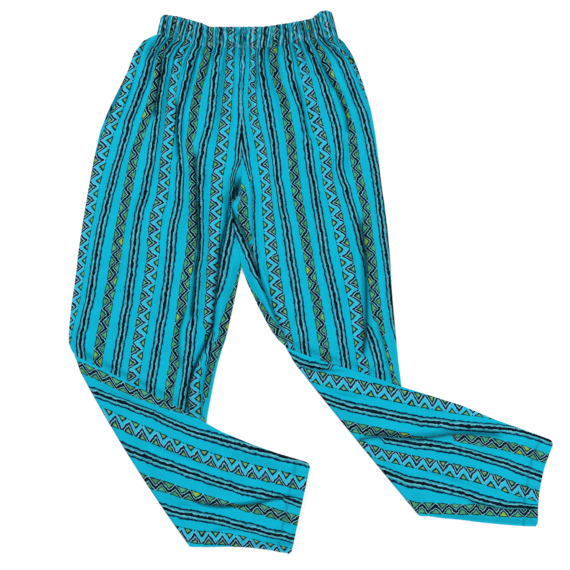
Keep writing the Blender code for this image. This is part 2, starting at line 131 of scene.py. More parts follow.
# Leg sections from the casing to the fold, a row each. Columns: side_out, side_down, inner_out,
# inner_down and bow, all in millimetres: out from the centre front, down from the casing seam,
# and how far the section bows down the leg in its middle.
LEFT_UPPER = MM * np.array(
    [
        (148, -26, 0, 0, 0),
        (171, -15, 0, 15, 0),
        (188, 8, 0, 36, 0),
        (199, 39, 0, 60, 0),
        (213, 66, 0, 83, 0),
        (234, 109, 0, 120, 0),
        (247, 144, 0, 153, 0),
        (257, 188, 0, 193, 0),
        (268, 246, 0, 246, 0),
        (272, 270, 0, 268, 0),
        (279, 312, 0, 310, 0),
        (286, 360, 0, 360, 0),
        (288, 382, 0, 382, 0),
        (292, 412, 9, 424, 0),
        (297, 445, 18, 466, 0),
        (300, 473, 27, 505, 0),
        (302, 496, 39, 540, 0),
        (302, 512, 49, 585, 1),
        (299, 522, 59, 638, 3),
        (296, 528.5, 69, 710, 5),
        (293, 532, 79, 788, 6.5),
        (290.5, 534.6, 86, 865.5, 7.5),
    ]
)
RIGHT_UPPER = MM * np.array(
    [
        (169.4, -20, 0, 0, 0),
        (178.5, -14, 0, 15, 0),
        (195, 11, 0, 36, 0),
        (205.5, 39, 0, 60, 0),
        (214.5, 67, 0, 83, 0),
        (226, 106, 0, 120, 0),
        (233.5, 146, 0, 153, 0),
        (239, 188, 0, 193, 0),
        (246, 246, 0, 246, 0),
        (250, 270, 0, 268, 0),
        (255, 312, 0, 310, 0),
        (259.5, 360, 0, 360, 0),
        (261, 382, 0, 382, 0),
        (262.5, 417, 10.5, 410, 0),
        (266, 459, 29, 449, 0),
        (270, 501, 43, 476, 0),
        (274, 543, 54, 495, 0),
        (280, 592, 64, 508, 0),
        (288, 648, 71, 514.5, 0),
        (296, 701, 74.5, 517.5, 0.5),
        (304, 757, 76.5, 519.5, 1),
        (313.5, 811, 78, 521.5, 1.5),
    ]
)

# Leg sections from the fold to the hem, in the same columns.
LEFT_LOWER = MM * np.array(
    [
        (290.5, 534.6, 86, 865.5, 7.5),
        (246, 557, 64, 869.5, 6),
        (195, 582, 41, 870, 4),
        (146, 608, 20, 870, 3),
        (90, 637, -1, 870.5, 2),
        (34, 669, -18, 872, 1),
        (-18.5, 691, -36, 874, 0),
        (-60, 705.5, -50, 876, 0),
        (-97, 716.5, -62.5, 878.5, 0),
        (-121, 724, -87, 882.5, 0),
    ]
)
RIGHT_LOWER = MM * np.array(
    [
        (313.5, 811, 78, 521.5, 1.5),
        (330, 816, 141, 545, 2),
        (354, 819.8, 211, 566, 2),
        (384, 823, 274, 588, 2),
        (410, 826.5, 330, 605.5, 3),
        (433, 829, 386, 623, 4),
        (454, 831, 443.5, 647.5, 6),
        (473.5, 832.5, 487.5, 663, 8),
        (493, 834, 523, 676, 9),
        (518, 834.4, 546.5, 685, 10),
    ]
)

# Above the crotch the front of the right leg laps over the left. Columns: down, lap.
CENTRE_LAP = MM * np.array([(246, 0), (258, 6), (266, 18), (310, 14), (360, 3), (382, 0)])

# Pocket openings: first and last place in the tables above, and how far the front's edge stands
# back there.
POCKETS = {"left": (3.4, 5.7, 8.0 * MM), "right": (0.2, 3.5, 10.0 * MM)}
FACING_WIDTH = 34.0 * MM
FACING_ENDS = (0.15, 0.85)  # of half a turn, between which its inner edge is rounded
FACING_OVERRUN = 0.5  # of a row, past each end of the opening
FACING_NUMBER = 3.4  # of the stripe at the facing's outer edge
INSET_REACH = 60.0 * MM  # how far into the panel its set-back edge shifts it
FACING_FLAT = {"left": (0.036, 0.122, 0.0034), "right": (0.036, 0.1, 0.0026)}

# Where the stripes run on the front of the left leg, in pixels of the photograph. Each row is a
# stripe's number, counted out from the centre front, and its course as (y, x). A stripe that
# passes under a crease has a row for each part that shows.
LEFT_FRONT_STRIPES = [
    (9, [(30, 150), (44, 140), (60, 134.8), (85, 126.5), (98, 122.7), (111, 117.6), (124, 113),
         (137, 107.5), (162, 100.4), (187, 94), (213, 90), (239, 85), (281, 78.7), (306, 74.9),
         (332, 67), (360, 62), (430, 50)]),
    (8, [(30, 165), (38, 163.5), (50, 155), (60, 151), (85, 144.4), (98, 139.3), (111, 134.8),
         (124, 129.3), (137, 127), (149, 123.3), (162, 119.5), (187, 111.9), (213, 105.5),
         (239, 99.7), (255, 97.2), (281, 93.4), (306, 88.9), (332, 82.5), (345, 80.6),
         (357, 81.9), (430, 84)]),
    (7, [(30, 173), (40, 171.5), (50, 162.5), (60, 159.5), (73, 158), (85, 156.5), (98, 153),
         (111, 149.5), (124, 145.4), (137, 141.2), (149, 136.7), (162, 133.5), (187, 129.3),
         (213, 124), (239, 118.9), (255, 117), (281, 112.5), (306, 108), (332, 102.9),
         (365, 97.5), (430, 87)]),
    (6, [(30, 180), (41, 178.5), (50, 169), (60, 165.6), (73, 164.5), (85, 162.5), (98, 160),
         (111, 158.4), (124, 157.2), (137, 155.2), (162, 151.8), (187, 146.7), (200, 143.5),
         (213, 139.5), (239, 135.7), (281, 131), (306, 127.6), (332, 123), (357, 118.6),
         (376, 116), (430, 107)]),
    (5, [(30, 189), (44, 187), (52, 181.5), (60, 178), (73, 176), (85, 173.5), (98, 171.8),
         (124, 169.9), (149, 166.7), (187, 164.2), (200, 162), (213, 157.1), (239, 154.3),
         (255, 154.3), (281, 150.1), (306, 145.4), (332, 141.2), (357, 136.7), (383, 132.9),
         (430, 125)]),
    (4, [(30, 199.5), (45, 198.5), (60, 191.6), (73, 189), (85, 186.2), (98, 183), (111, 180),
         (124, 178.4), (137, 178.3), (149, 179), (162, 180.5), (175, 181.4), (200, 179.5),
         (213, 177.6), (226, 173.7), (239, 172.4), (281, 168.6), (306, 164.8), (332, 160.3),
         (357, 155.9), (383, 152), (430, 144)]),
    (3, [(30, 209.8), (47, 209.5), (60, 205.9), (73, 203), (85, 199.2), (111, 194.4),
         (124, 193.5), (136, 191.8), (143, 188.6), (149, 189.9), (162, 192.2), (187, 193.5),
         (213, 194), (239, 192.5), (255, 190.9), (281, 185.5), (306, 182.3), (319, 181),
         (345, 177.2), (357, 176), (383, 171.5), (408, 167.5), (430, 164)]),
    (2, [(30, 219.7), (48, 219.5), (60, 216.5), (85, 214.5), (111, 212.2), (124, 210),
         (137, 206.6), (149, 203), (162, 201), (187, 199.8), (213, 199.8), (239, 200.9),
         (255, 200.2), (268, 197.2), (281, 196.4), (306, 194.5), (332, 192), (357, 189),
         (383, 185.7), (408, 181), (430, 177)]),
    (1, [(30, 231.8), (49, 231.7), (73, 230.5), (85, 229.6), (98, 227.6), (124, 225.4),
         (149, 222.2), (175, 218.4), (200, 216.2), (226, 213.9), (255, 213), (281, 212.2),
         (306, 210.7), (326, 208.8)]),
    (1, [(355, 201.5), (362, 198.8), (368, 196.6), (383, 193.4), (408, 194.5), (430, 195.5)]),
    (0, [(30, 244.8), (80, 243.8), (98, 243.2), (124, 242.8), (132, 241.4), (149, 239.4)]),
    (0.22, [(30, 240.6), (50, 240.4), (80, 239.4), (98, 238.7), (124, 238.5), (132, 237.4),
            (149, 236), (162, 235.4), (172, 232.4), (179, 231), (187, 229.6)]),
    (-0.22, [(149, 242.4), (161, 241.2), (172, 236.6), (179, 234.8), (187, 232.4)]),
    (0, [(190, 232), (198, 234.5), (213, 235), (225, 231.6), (235, 230.5), (244, 228.6),
         (253, 226.7), (268, 223.5), (280, 221.3), (294, 217.2)]),
    (0, [(330, 214.6), (338, 213), (345, 211.3), (357, 209.2), (366, 207.2)]),
    (-1, [(262, 246.5), (281, 241.2), (294, 236.4), (306, 231.4), (319, 227), (332, 221.9),
          (345, 217.7), (357, 212.6), (370, 208), (383, 205), (396, 203.3)]),
    (-2, [(340, 240), (357, 232), (383, 226), (396, 222), (408, 218), (430, 213)]),
]
RIGHT_FRONT_STRIPES = [
    (9, [(30, 327), (45, 331), (60, 352), (85, 364), (111, 379), (162, 392), (213, 400),
         (262, 406), (306, 412), (332, 417), (345, 422), (383, 432), (430, 440)]),
    (8, [(30, 319), (40, 322), (50, 333), (60, 341.5), (73, 346.9), (85, 351.1), (98, 355.5),
         (111, 360.9), (137, 368), (162, 373), (187, 377.5), (213, 380), (239, 383.5),
         (281, 389.4), (306, 391.9), (319, 393.5), (332, 397), (345, 402), (383, 412),
         (430, 420)]),
    (7, [(30, 311), (42, 314), (50, 319.5), (60, 324), (73, 328.4), (85, 333.5), (96, 338.4)]),
    (7, [(121, 348.2), (137, 351.6), (149, 352.9), (162, 354.6), (187, 360), (200, 362.9),
         (213, 366), (239, 368.4), (255, 371.3), (281, 373), (306, 375.9), (319, 378),
         (334, 380.4)]),
    (6, [(30, 304), (44, 306.5), (60, 313.8), (73, 318.2), (85, 323.3), (98, 327.1),
         (111, 331.2), (124, 334.8), (137, 337.6), (149, 339.3), (169, 339.4), (178, 341.5),
         (187, 346), (200, 349), (213, 353.3), (226, 357), (239, 360.3), (255, 364.4)]),
    (6, [(328, 367.6), (338, 371.5), (345, 373.6), (357, 376.9), (376, 379.5), (430, 386)]),
    (5, [(30, 296.5), (45, 297), (60, 301.6), (73, 304.4), (98, 310.3), (111, 313.1),
         (124, 315.9), (137, 320.1), (149, 324.6), (162, 325.9), (187, 328.4), (200, 332.9),
         (213, 336.1), (239, 341.2), (255, 345.6), (281, 350.1), (306, 355.2), (332, 358.3),
         (348, 360.3), (370, 364.1), (430, 371)]),
    (4, [(30, 286.5), (47, 286.5), (60, 288.9), (73, 290.8), (85, 293.3), (98, 297.4),
         (111, 302.6), (124, 305), (137, 307.2), (162, 309.5), (187, 313.8), (213, 318),
         (239, 322.3), (255, 324.8), (281, 330.7), (306, 336.1), (332, 340.9), (367, 346.3),
         (430, 357)]),
    (3, [(30, 276.3), (48, 272.8), (60, 272.9), (73, 274.6), (85, 278), (98, 283.5),
         (111, 285.7), (137, 290.2), (162, 292.7), (187, 295.9), (200, 297.6), (226, 302.9),
         (255, 308), (281, 312.1), (306, 317.6), (332, 321.4), (360, 326), (430, 338)]),
    (2, [(30, 265.5), (49, 261.5), (60, 260.6), (73, 261.8), (85, 263.6), (111, 268.7),
         (137, 272.6), (162, 276.1), (175, 276.8), (200, 281.2), (226, 286.3), (255, 290.4),
         (281, 295), (306, 298.8), (332, 302.3), (352, 305.2), (430, 318)]),
    (1, [(30, 253.2), (60, 252.5), (98, 251.3), (111, 251.9), (124, 253.6), (137, 258.3),
         (149, 261.5), (162, 263.4), (187, 266.6), (213, 267.6), (226, 269.1), (255, 271.7),
         (281, 275.1), (306, 279.3), (332, 285), (430, 310)]),
    (0, [(30, 241), (80, 240.2), (98, 238.8), (120, 240.5), (130, 242.2), (137, 242.6),
         (149, 243.4)]),
    (-0.22, [(149, 241.6), (155, 242.2), (161, 244.3), (174, 247.7), (179, 249.3)]),
    (0.22, [(30, 245.6), (50, 245.4), (70, 245.2), (80, 244.4), (98, 243), (120, 244.6),
            (130, 246), (137, 246.9), (149, 248.4), (162, 249.8), (172, 251.3), (179, 252.6),
            (187, 254.2), (200, 254.9), (230, 255.2), (240, 255.5), (250, 256.2),
            (261, 258.1), (272, 259.4), (280, 261.2)]),
    (-1, [(168, 233), (180, 235.5), (185, 238.5), (190, 241), (200, 242.6), (213, 243),
          (224, 243.9), (235, 246.2), (244, 249)]),
    (-4, [(196, 225), (207, 227.5), (213, 229.6), (219, 232.6), (227, 236.9), (234, 240.7),
          (244, 244.5), (253, 248.6), (262, 252), (270, 255), (277, 257.6)]),
    (-5, [(240, 221), (262, 233.4), (280, 241.8), (289, 246.4), (301, 255.4), (318, 267),
          (331, 276.4), (344, 287), (430, 340)]),
]

# The same for the backs of the folded lower legs, with each course as (x, y).
LEFT_BACK_STRIPES = [
    (3, [(60, 362), (82, 367.2), (100, 375), (120, 385.4), (135, 392), (165, 403), (215, 418),
         (320, 442)]),
    (4, [(60, 379), (90, 390.6), (110, 397.5), (135, 406), (151, 412), (166, 419.5),
         (182, 426.5), (197, 431.9), (228, 441.1), (258, 449.5), (289, 457.2), (320, 464.5)]),
    (5, [(60, 398), (90, 408.5), (110, 415.8), (136, 428.1), (159, 438), (182, 448),
         (220, 462.5), (243, 468.6), (289, 480.1), (320, 487.5)]),
    (6, [(80, 429), (110, 441), (124, 447.2), (141, 454.1), (182, 468.6), (212, 479.4),
         (243, 489.3), (266, 494.2), (286, 497.7), (303, 503.1), (320, 508)]),
    (7, [(100, 459), (142, 478), (151, 482.5), (166, 486), (182, 491.8), (197, 496.5),
         (212, 501.3), (224, 504.2)]),
    (7, [(252, 506.6), (258, 507.8), (273, 512.3), (289, 517), (320, 526)]),
    (8, [(110, 488), (135, 499.5), (163, 507.7), (182, 512.3), (212, 517.7), (228, 521.5),
         (243, 526.1), (266, 531.4), (294, 538.3), (320, 545)]),
    (9, [(130, 517), (160, 527), (180, 532.4), (197, 536), (220, 537.6), (243, 540.6),
         (258, 545.2), (281, 550.6), (320, 560)]),
]
RIGHT_BACK_STRIPES = [
    (0, [(275, 348.5), (286, 355), (293, 359), (304, 364.4), (318, 368), (330, 369.6)]),
    (1, [(275, 357), (299, 371.2), (309, 375.8), (330, 380.3), (348, 384), (386, 392.3),
         (418, 400.1), (447, 406), (477, 411), (570, 430)]),
    (2, [(290, 383), (310, 391.5), (322, 397), (335, 402), (359, 408.3), (389, 414.3),
         (418, 420), (447, 423.6), (477, 426.3), (499, 427.6), (521, 431), (535, 435.4),
         (553, 441.2), (570, 447)]),
    (3, [(310, 416), (330, 421), (346, 425.1), (359, 428), (370, 430), (381, 432.3),
         (396, 435.4), (408, 437.2)]),
    (3, [(452, 437.5), (462, 438.8), (477, 441), (491, 442.8), (506, 445.6), (521, 449.3),
         (535, 454.4), (547, 458.8), (570, 467)]),
    (4, [(382, 438), (403, 441.2), (418, 443.6), (433, 445.6), (455, 448), (477, 454.4),
         (506, 463.2), (521, 469.1), (541, 475.7), (570, 485)]),
    (5, [(330, 436), (350, 442.5), (368, 450), (385, 455), (396, 456.5), (418, 461.8),
         (455, 470.6), (477, 475), (499, 482.3), (513, 488.2), (532, 495.5), (570, 509)]),
    (6, [(350, 457), (370, 465), (386, 471.3), (403, 478), (418, 481.8), (440, 486.7),
         (462, 492.6), (484, 499.9), (506, 505.4), (535, 507), (570, 509)]),
    (7, [(370, 500), (395, 504.5), (412, 507.2), (433, 507.4), (477, 508.9), (499, 510.4),
         (535, 511.4), (570, 513)]),
]

# Creases: half_width and depth in millimetres, lip (how high the side further out stands over
# the crease, below nothing for the other side), whether cloth is hidden in it, and its course
# in pixels, as (y, x) on the fronts and (x, y) on the backs.
LEFT_FRONT_CREASES = [
    (4, 3.2, 1.0, True, [(40, 177), (50, 167.3), (60, 163), (75, 161.8), (90, 159.2),
                         (105, 156.5), (120, 156)]),
    (3.5, 3.0, 0.5, False, [(46, 188), (55, 182.5), (66, 178.3), (80, 176.3), (95, 176)]),
    (4, 2.4, 0.0, False, [(48, 204), (60, 199), (75, 195.5), (100, 190)]),
    (4, 2.4, 0.0, False, [(48, 225.5), (65, 224), (85, 222), (110, 218.5)]),
    (4.5, 3.2, 0.0, False, [(76, 229), (98, 226.7), (112, 225.5), (130, 223.5)]),
    (4, 2.0, 0.0, False, [(42, 167), (52, 158.5), (66, 154), (90, 149)]),
    (4, 3.4, -1.2, True, [(100, 179), (111, 178), (124, 177.2), (137, 177.3), (149, 178),
                          (165, 179.3)]),
    (6, 3.6, 0.0, False, [(128, 184.5), (140, 183.5), (152, 184), (168, 186)]),
    (4.5, 5.0, -3.0, True, [(153, 196), (162, 196), (175, 197), (187, 197.6), (213, 198),
                            (230, 199), (255, 199), (268, 196.2), (281, 195.4), (306, 193),
                            (322, 190.8)]),
    (4, 3.4, 1.0, True, [(308, 186.6), (319, 183), (326, 181), (332, 179.8), (345, 179),
                         (357, 179.8), (372, 181.2)]),
    (5, 6.0, -3.2, True, [(194, 230.4), (202, 229), (213, 228), (225, 226.7), (236, 224),
                          (247, 221.2), (258, 219.6), (280, 217.9), (290, 216.8), (306, 215.2),
                          (326, 213.6), (335, 210.2), (345, 205.6), (357, 199.8), (368, 195),
                          (383, 189.8), (396, 188.2), (420, 187)]),
    (14, 7.0, 0.0, False, [(178, 239), (187, 237.5), (194, 234.5), (200, 232), (208, 229.5)]),
    (3, 3.0, 0.0, True, [(338, 214), (350, 211.8), (357, 210.1), (370, 207.4), (383, 204.4),
                         (396, 203), (424, 201)]),
    (12, 2.2, 0.0, False, [(160, 116), (195, 108), (240, 110)]),
    (11, 2.4, 1.0, False, [(175, 149), (203, 144), (240, 137)]),
    (13, 2.2, 0.0, False, [(215, 130), (262, 125), (330, 112)]),
    (11, 2.4, -1.0, False, [(160, 172), (200, 171), (245, 163)]),
    (13, 2.4, 0.0, False, [(235, 148), (300, 137), (365, 127)]),
]
RIGHT_FRONT_CREASES = [
    (3.5, 4.5, 3.0, True, [(200, 230.8), (206, 231), (213, 232.6), (220, 236.4), (227, 240.4),
                            (235, 244.3), (244, 248), (252, 251.5), (260, 254.5), (268, 257),
                            (277, 259.5), (286, 262.7), (305, 270.3), (326, 279.3),
                            (345, 289)]),
    (2.5, 1.6, 1.6, True, [(178, 250.4), (187, 251.8), (200, 252.3), (230, 252.7),
                           (244, 253.2)]),
    (4, 3.0, -1.0, True, [(78, 295.4), (85, 297.4), (98, 301.2), (111, 303.4), (124, 305.6),
                          (140, 309)]),
    (5, 5.5, 2.4, True, [(56, 317.5), (65, 322), (75, 327), (85, 332), (92, 336.5),
                          (98, 339.5), (107, 342.8), (117, 346.6), (124, 347.2), (138, 349)]),
    (7, 7.0, -2.2, True, [(218, 358.5), (230, 361.6), (240, 363.2), (249, 364.6), (268, 365.8),
                         (306, 366.3), (324, 366.2), (338, 364.8), (347, 363.6), (358, 363)]),
    (4, 2.6, -0.8, True, [(322, 377.6), (332, 379.6), (345, 383.8), (357, 386.6), (370, 389.6),
                          (386, 392.4)]),
    (6, 3.6, 0.0, False, [(138, 344), (155, 345), (170, 344.5), (184, 350)]),
    (4, 3.2, 0.0, False, [(50, 258), (60, 257.8), (75, 257.6), (98, 260)]),
    (4, 2.2, 0.0, False, [(50, 268), (70, 268.5), (90, 272), (108, 278)]),
    (4, 2.6, 0.0, False, [(52, 294.5), (75, 299), (92, 302)]),
    (4, 2.0, 0.0, False, [(48, 280.5), (70, 281.5), (92, 286)]),
    (4, 2.0, 0.0, False, [(46, 304), (60, 307.5), (80, 314)]),
    (11, 2.4, 1.0, False, [(130, 297), (175, 303), (235, 309)]),
    (10, 1.8, 0.0, False, [(165, 317), (196, 321), (240, 329)]),
    (13, 2.6, 0.0, False, [(215, 312), (262, 317), (345, 332)]),
    (12, 2.2, 0.0, False, [(150, 280), (220, 291), (320, 308)]),
    (12, 2.2, 1.0, False, [(190, 338), (250, 349), (330, 352)]),
]
LEFT_BACK_CREASES = [
    (4, 4.0, -2.6, True, [(190, 500), (203, 504), (218, 506.4), (235, 505.9), (247, 504.3),
                         (258, 502.4), (273, 498.8), (286, 496.8), (296, 497.4)]),
    (5, 1.8, 0.0, False, [(204, 533), (225, 530.6), (248, 531.5)]),
    (6, 2.0, 0.0, False, [(92, 384), (115, 395), (140, 404)]),
    (8, 2.0, 0.0, False, [(140, 442), (180, 458), (225, 472)]),
    (7, 1.8, 0.0, False, [(150, 500), (185, 506), (220, 512)]),
    (8, 1.6, 0.0, False, [(225, 455), (262, 466), (300, 475)]),
    (6, 1.8, 0.0, False, [(262, 541), (285, 545), (300, 548)]),
]
RIGHT_BACK_CREASES = [
    (3.5, 3.5, 0.0, True, [(284, 358), (300, 366), (315, 369.4), (330, 370.4), (346, 370)]),
    (7, 4.6, -2.6, True, [(345, 441), (358, 439.2), (370, 436.9), (381, 436), (400, 437.8),
                           (418, 438.6), (432, 437.2), (447, 434.4), (462, 433.6),
                           (480, 433.8), (502, 436)]),
    (3.5, 2.8, 0.0, True, [(466, 502), (480, 504.6), (492, 506.8), (505, 508.4), (520, 508.6),
                           (537, 508.8)]),
    (4, 1.8, 0.0, False, [(388, 474), (396, 477), (406, 478)]),
    (6, 2.2, 0.0, False, [(300, 386), (330, 394), (370, 401)]),
    (7, 2.0, 0.0, False, [(395, 462), (440, 478), (490, 494)]),
    (8, 1.8, 0.0, False, [(430, 410), (470, 417), (520, 424)]),
    (6, 2.0, 0.0, False, [(505, 452), (525, 458), (545, 466)]),
    (3, 1.8, 0.0, False, [(514, 502), (519, 499), (526, 501)]),
]

# Short puckers that cross the turned hems: (x, y) of both ends in pixels, half_width and height
# in millimetres.
HEM_PUCKERS = {
    "left": [(296, 466, 303, 467.5, 3, 1.2), (291, 497, 301, 500, 3.5, 1.6),
             (284, 520, 297, 523, 3.5, 1.2), (279, 540, 294, 543, 3, 1.4)],
    "right": [(516, 514, 522, 524, 3, 2.0), (529, 512, 534, 524, 3, 1.6),
              (536, 452, 547, 456, 3.5, 1.4), (524, 482, 539, 486, 3.5, 1.3),
              (506, 511, 513, 522, 3.5, 1.3)],
}

# A crease: the pixels over which it fades at its ends where cloth is hidden in it, and, in half
# widths, how far off its lip stands and how wide the lip is.
CREASE_END = 14.0
LIP_AWAY = 2.1
LIP_WIDTH = 1.5

# Gathers below the casing, by the distance down from it: where the finest have faded, and for the
# broad and the slow ones the length over which they grow, where they start to fade and over what
# length. They grow over the first part of a stripe beside the centre front.
FINE_FADE = 75.0 * MM
BROAD_FADE = (30.0 * MM, 50.0 * MM, 170.0 * MM)
SLOW_FADE = (60.0 * MM, 120.0 * MM, 260.0 * MM)
CENTRE_PLAIN = 0.7
LOFT_AT_WAIST = 0.35  # share of the loft that is left under the casing
LOFT_RISE = 70.0 * MM
GATHERS_AT_SIDE = 0.3  # share of the gathers that is left at the side seam
LAP_ACROSS = (0.75, 0.2)  # where the lap starts across the panel, and over what share it rises
# Painted shade: the grooves between gathers, and the cloth right under the casing, are darkened in
# the colour.
GROOVE_FADE = 60.0 * MM  # down to where the grooves between gathers are dark
GROOVE_DARK = 0.32
WAIST_FADE = 30.0 * MM  # the same for the shade right under the casing
WAIST_DARK = 0.12
LOWER_LOFT = 0.75  # share of the loft on the lower leg

# Share of the centre front's stripe that the casing's centre seam takes in.
SEAM_HIDDEN = 0.11

# Middle of each stripe along the casing, in pixels, at its seam and at its top edge, for the
# stripes from 9 on the left to 10 on the right.
CASING_STRIPES = {
    "number": range(-9, 11),
    "seam": [155, 163.5, 171.5, 178.5, 187.2, 198.5, 209.6, 219.6, 231.8, 242, 253, 263.5,
             274, 286.5, 296.8, 305.5, 313, 321, 330, 341],
    "top": [160, 166.5, 177, 184, 192.5, 201.5, 210.5, 221, 232.3, 244, 253.5, 266, 277.5,
            285.5, 294.5, 301, 308, 314.5, 322.5, 331],
}

# The cloth's own pitch from stripe to stripe, in pixels, down from the waist, where gathers hide
# part of it. Columns: y, pitch.
OWN_PITCH = np.array([(45, 10.5), (85, 14.5), (111, 17.0), (137, 19.0), (175, 20.4)])
STRIPE_PITCH = 35.7 * MM  # on the flat cloth
FOLDED_PITCH = 21.3  # along y on the lower legs, whose stripes slope
FOLDED_SLOPE = math.radians(17.0)
FRONT_TAKE_UP = 1.07  # flat length of the fronts over the length that shows
CREASE_FADE = 12.0  # pixels over which a crease takes up or lets go the cloth it hides

# The print's sizes in millimetres. A reach is from the middle of a stripe to where its band
# ends, and a line is its distance from the middle of the band or zigzag, and its half width.
BRUSHED_REACH = 7.9
BRUSHED_WANDER = 4.0  # of the middle line from side to side
BOLD_REACH = 9.2
BOLD_RISE = 5.6  # of the zigzag to either side
BOLD_SLANT = 0.74  # distance square to the zigzag over the distance across the stripe
BOLD_LINE = (0.0, 2.0)
BOLD_PALE_LINE = (2.35, 0.45)
BOLD_HOLLOW = 2.9  # from the zigzag's middle to the side of the triangle in its hollow
BOLD_FILL = (5.1, 7.6)  # the triangle's inner colour: from the zigzag's middle, to the stripe's
CHEVRON_REACH = 12.0
CHEVRON_RISE = 8.4  # of the large triangles
CHEVRON_LINE = (0.0, 1.65)
CHEVRON_PALE_LINES = ((2.05, 0.5), (-2.0, 0.35))
CHEVRON_LARGE = 2.8  # from the chevron's middle to its triangle's side
CHEVRON_SMALL = (11.5, 19.0)  # height and base of the small triangles
TRIANGLE_RIM = (2.3, 0.9, 0.7)  # its black outline, the edge inside it, and less at the base
DOT = (1.6, 1.2)  # from the small triangles' base line to a dot's middle, and its radius
WANDER = (4.6, 6.0, 0.0)  # of the drawing's hand, across the stripes and along them
DRAWN_THREAD = 0.36  # scale of the bump's waves: each is 0.314 mm over this scale long
BUMP_HEIGHT = 1.2 * MM

# Which way the large triangles face. The right back panel was cut the other way up.
BIG_SIDE = {
    ("front", "left"): 1.0, ("front", "right"): 1.0,
    ("back", "left"): 1.0, ("back", "right"): -1.0,
}

# Waves of the cloth's unevenness: length, turn of its direction in degrees, height; in mm.
RIPPLES = (
    (83, 12, 0.6), (59, -18, 0.5), (44, 31, 0.34), (33, -8, 0.26), (26, 52, 0.2),
    (21, -40, 0.15), (17, 15, 0.1), (52, 80, 0.3), (15, -75, 0.07),
)
RIPPLE_SEEDS = {"front": 1.0, "left": 4.1, "right": 5.9}  # of both fronts, and of each back

FOLD_PLACE = len(LEFT_UPPER) - 1
LOWER_START = FOLD_PLACE + 1
HEM_PLACE = LOWER_START + len(LEFT_LOWER) - 1

# The hem is turned up 25 mm, one section, and stitched there.
STITCH_PLACE = HEM_PLACE - 1
HEM_RISE = 0.5 * MM
HEM_CORNER = 6.5 * MM  # length over which a hem's corner is rounded off
HEM_CORNER_ROWS = 0.3  # and the rows of the leg tables over which it is
HEM_STEP = 0.15  # rows past the stitches over which the hem's thickness rises
STITCH_DIP = 0.11  # rows to either side that the stitches press down
STITCH_DARK = 0.3
BACK_PRINT_EARLY = 0.6  # rows before the fold from which the back panel has the lower leg's print
GATHERED_LENGTH = 120.0 * MM  # down from the casing, the length whose print gathers run together
STITCHES = 52  # across one side of a hem, 3 mm from one to the next
STITCH_SHARE = 0.75  # of that pitch, the rest is where the thread goes through the cloth
THREAD_RADIUS = 0.3 * MM
BAR_TACK = (9, 2.6 * MM, 0.55 * MM)  # stitches, their length and their pitch down the edge
BAR_TACK_PLACES = {"left": 5.75, "right": 3.55}
TACK_COLUMNS = 160  # of the panel that a tack's place is read off
ROW_STEP = 0.1  # rows of the leg tables between the places that a normal is worked out from
THREAD_CELLS = (4, 6)  # along a stitch and round it
BAR_TACK_IN = 4.0 * MM  # from the front panel's edge to the middle of the tack

# A leg panel's rows to the fold, round it and to the hem, and its columns.
PANEL_CELLS = {"front": ((171, 8, 28), 176), "back": ((36, 10, 171), 150)}

FACING_CELLS = (24, 8)
FACING_SHADE = 0.55  # the light that reaches it through the opening

# The floor's half width and depth, and the lamps: name, setting of its power, size, place.
FLOOR_HALF = 6.0
FLOOR_BELOW = 0.3 * MM
LAMPS = (
    ("key", "key_power", 2.2, (-2.7, 2.7, 3.0)),
    ("fill", "fill_power", 1.6, (2.4, -1.2, 2.4)),
)

# What is each leg's own. The hidden edge is the upper leg's under the lower leg, with the out and
# down of its two ends, and the back's span is in pixels.
LEGS = {
    "left": {
        "outward": -1.0,
        "upper": LEFT_UPPER,
        "lower": LEFT_LOWER,
        "hidden_edge": MM * np.array([(55, 600), (86, 864)]),
        "start": GATHER_START["left"],
        "front_creases": LEFT_FRONT_CREASES,
        "back_creases": LEFT_BACK_CREASES,
        "front_stripes": LEFT_FRONT_STRIPES,
        "back_stripes": LEFT_BACK_STRIPES,
        "back_span": (60, 320),
    },
    "right": {
        "outward": 1.0,
        "upper": RIGHT_UPPER,
        "lower": RIGHT_LOWER,
        "hidden_edge": MM * np.array([(280, 592), (312, 808)]),
        "start": GATHER_START["right"],
        "front_creases": RIGHT_FRONT_CREASES,
        "back_creases": RIGHT_BACK_CREASES,
        "front_stripes": RIGHT_FRONT_STRIPES,
        "back_stripes": RIGHT_BACK_STRIPES,
        "back_span": (275, 570),
    },
}


def smooth(value):
    """A rise from 0 to 1 that starts and ends level, over values from 0 to 1."""
    value = np.clip(value, 0.0, 1.0)
    return value * value * (3.0 - 2.0 * value)


def photo_pixels(out, down, outward):
    """Pixel in the photograph of a point out from the centre front and down from the seam."""
    return CENTRE_PX[0] + outward * out / PHOTO_SCALE, CENTRE_PX[1] + down / PHOTO_SCALE


# --- Where the stripes run ---


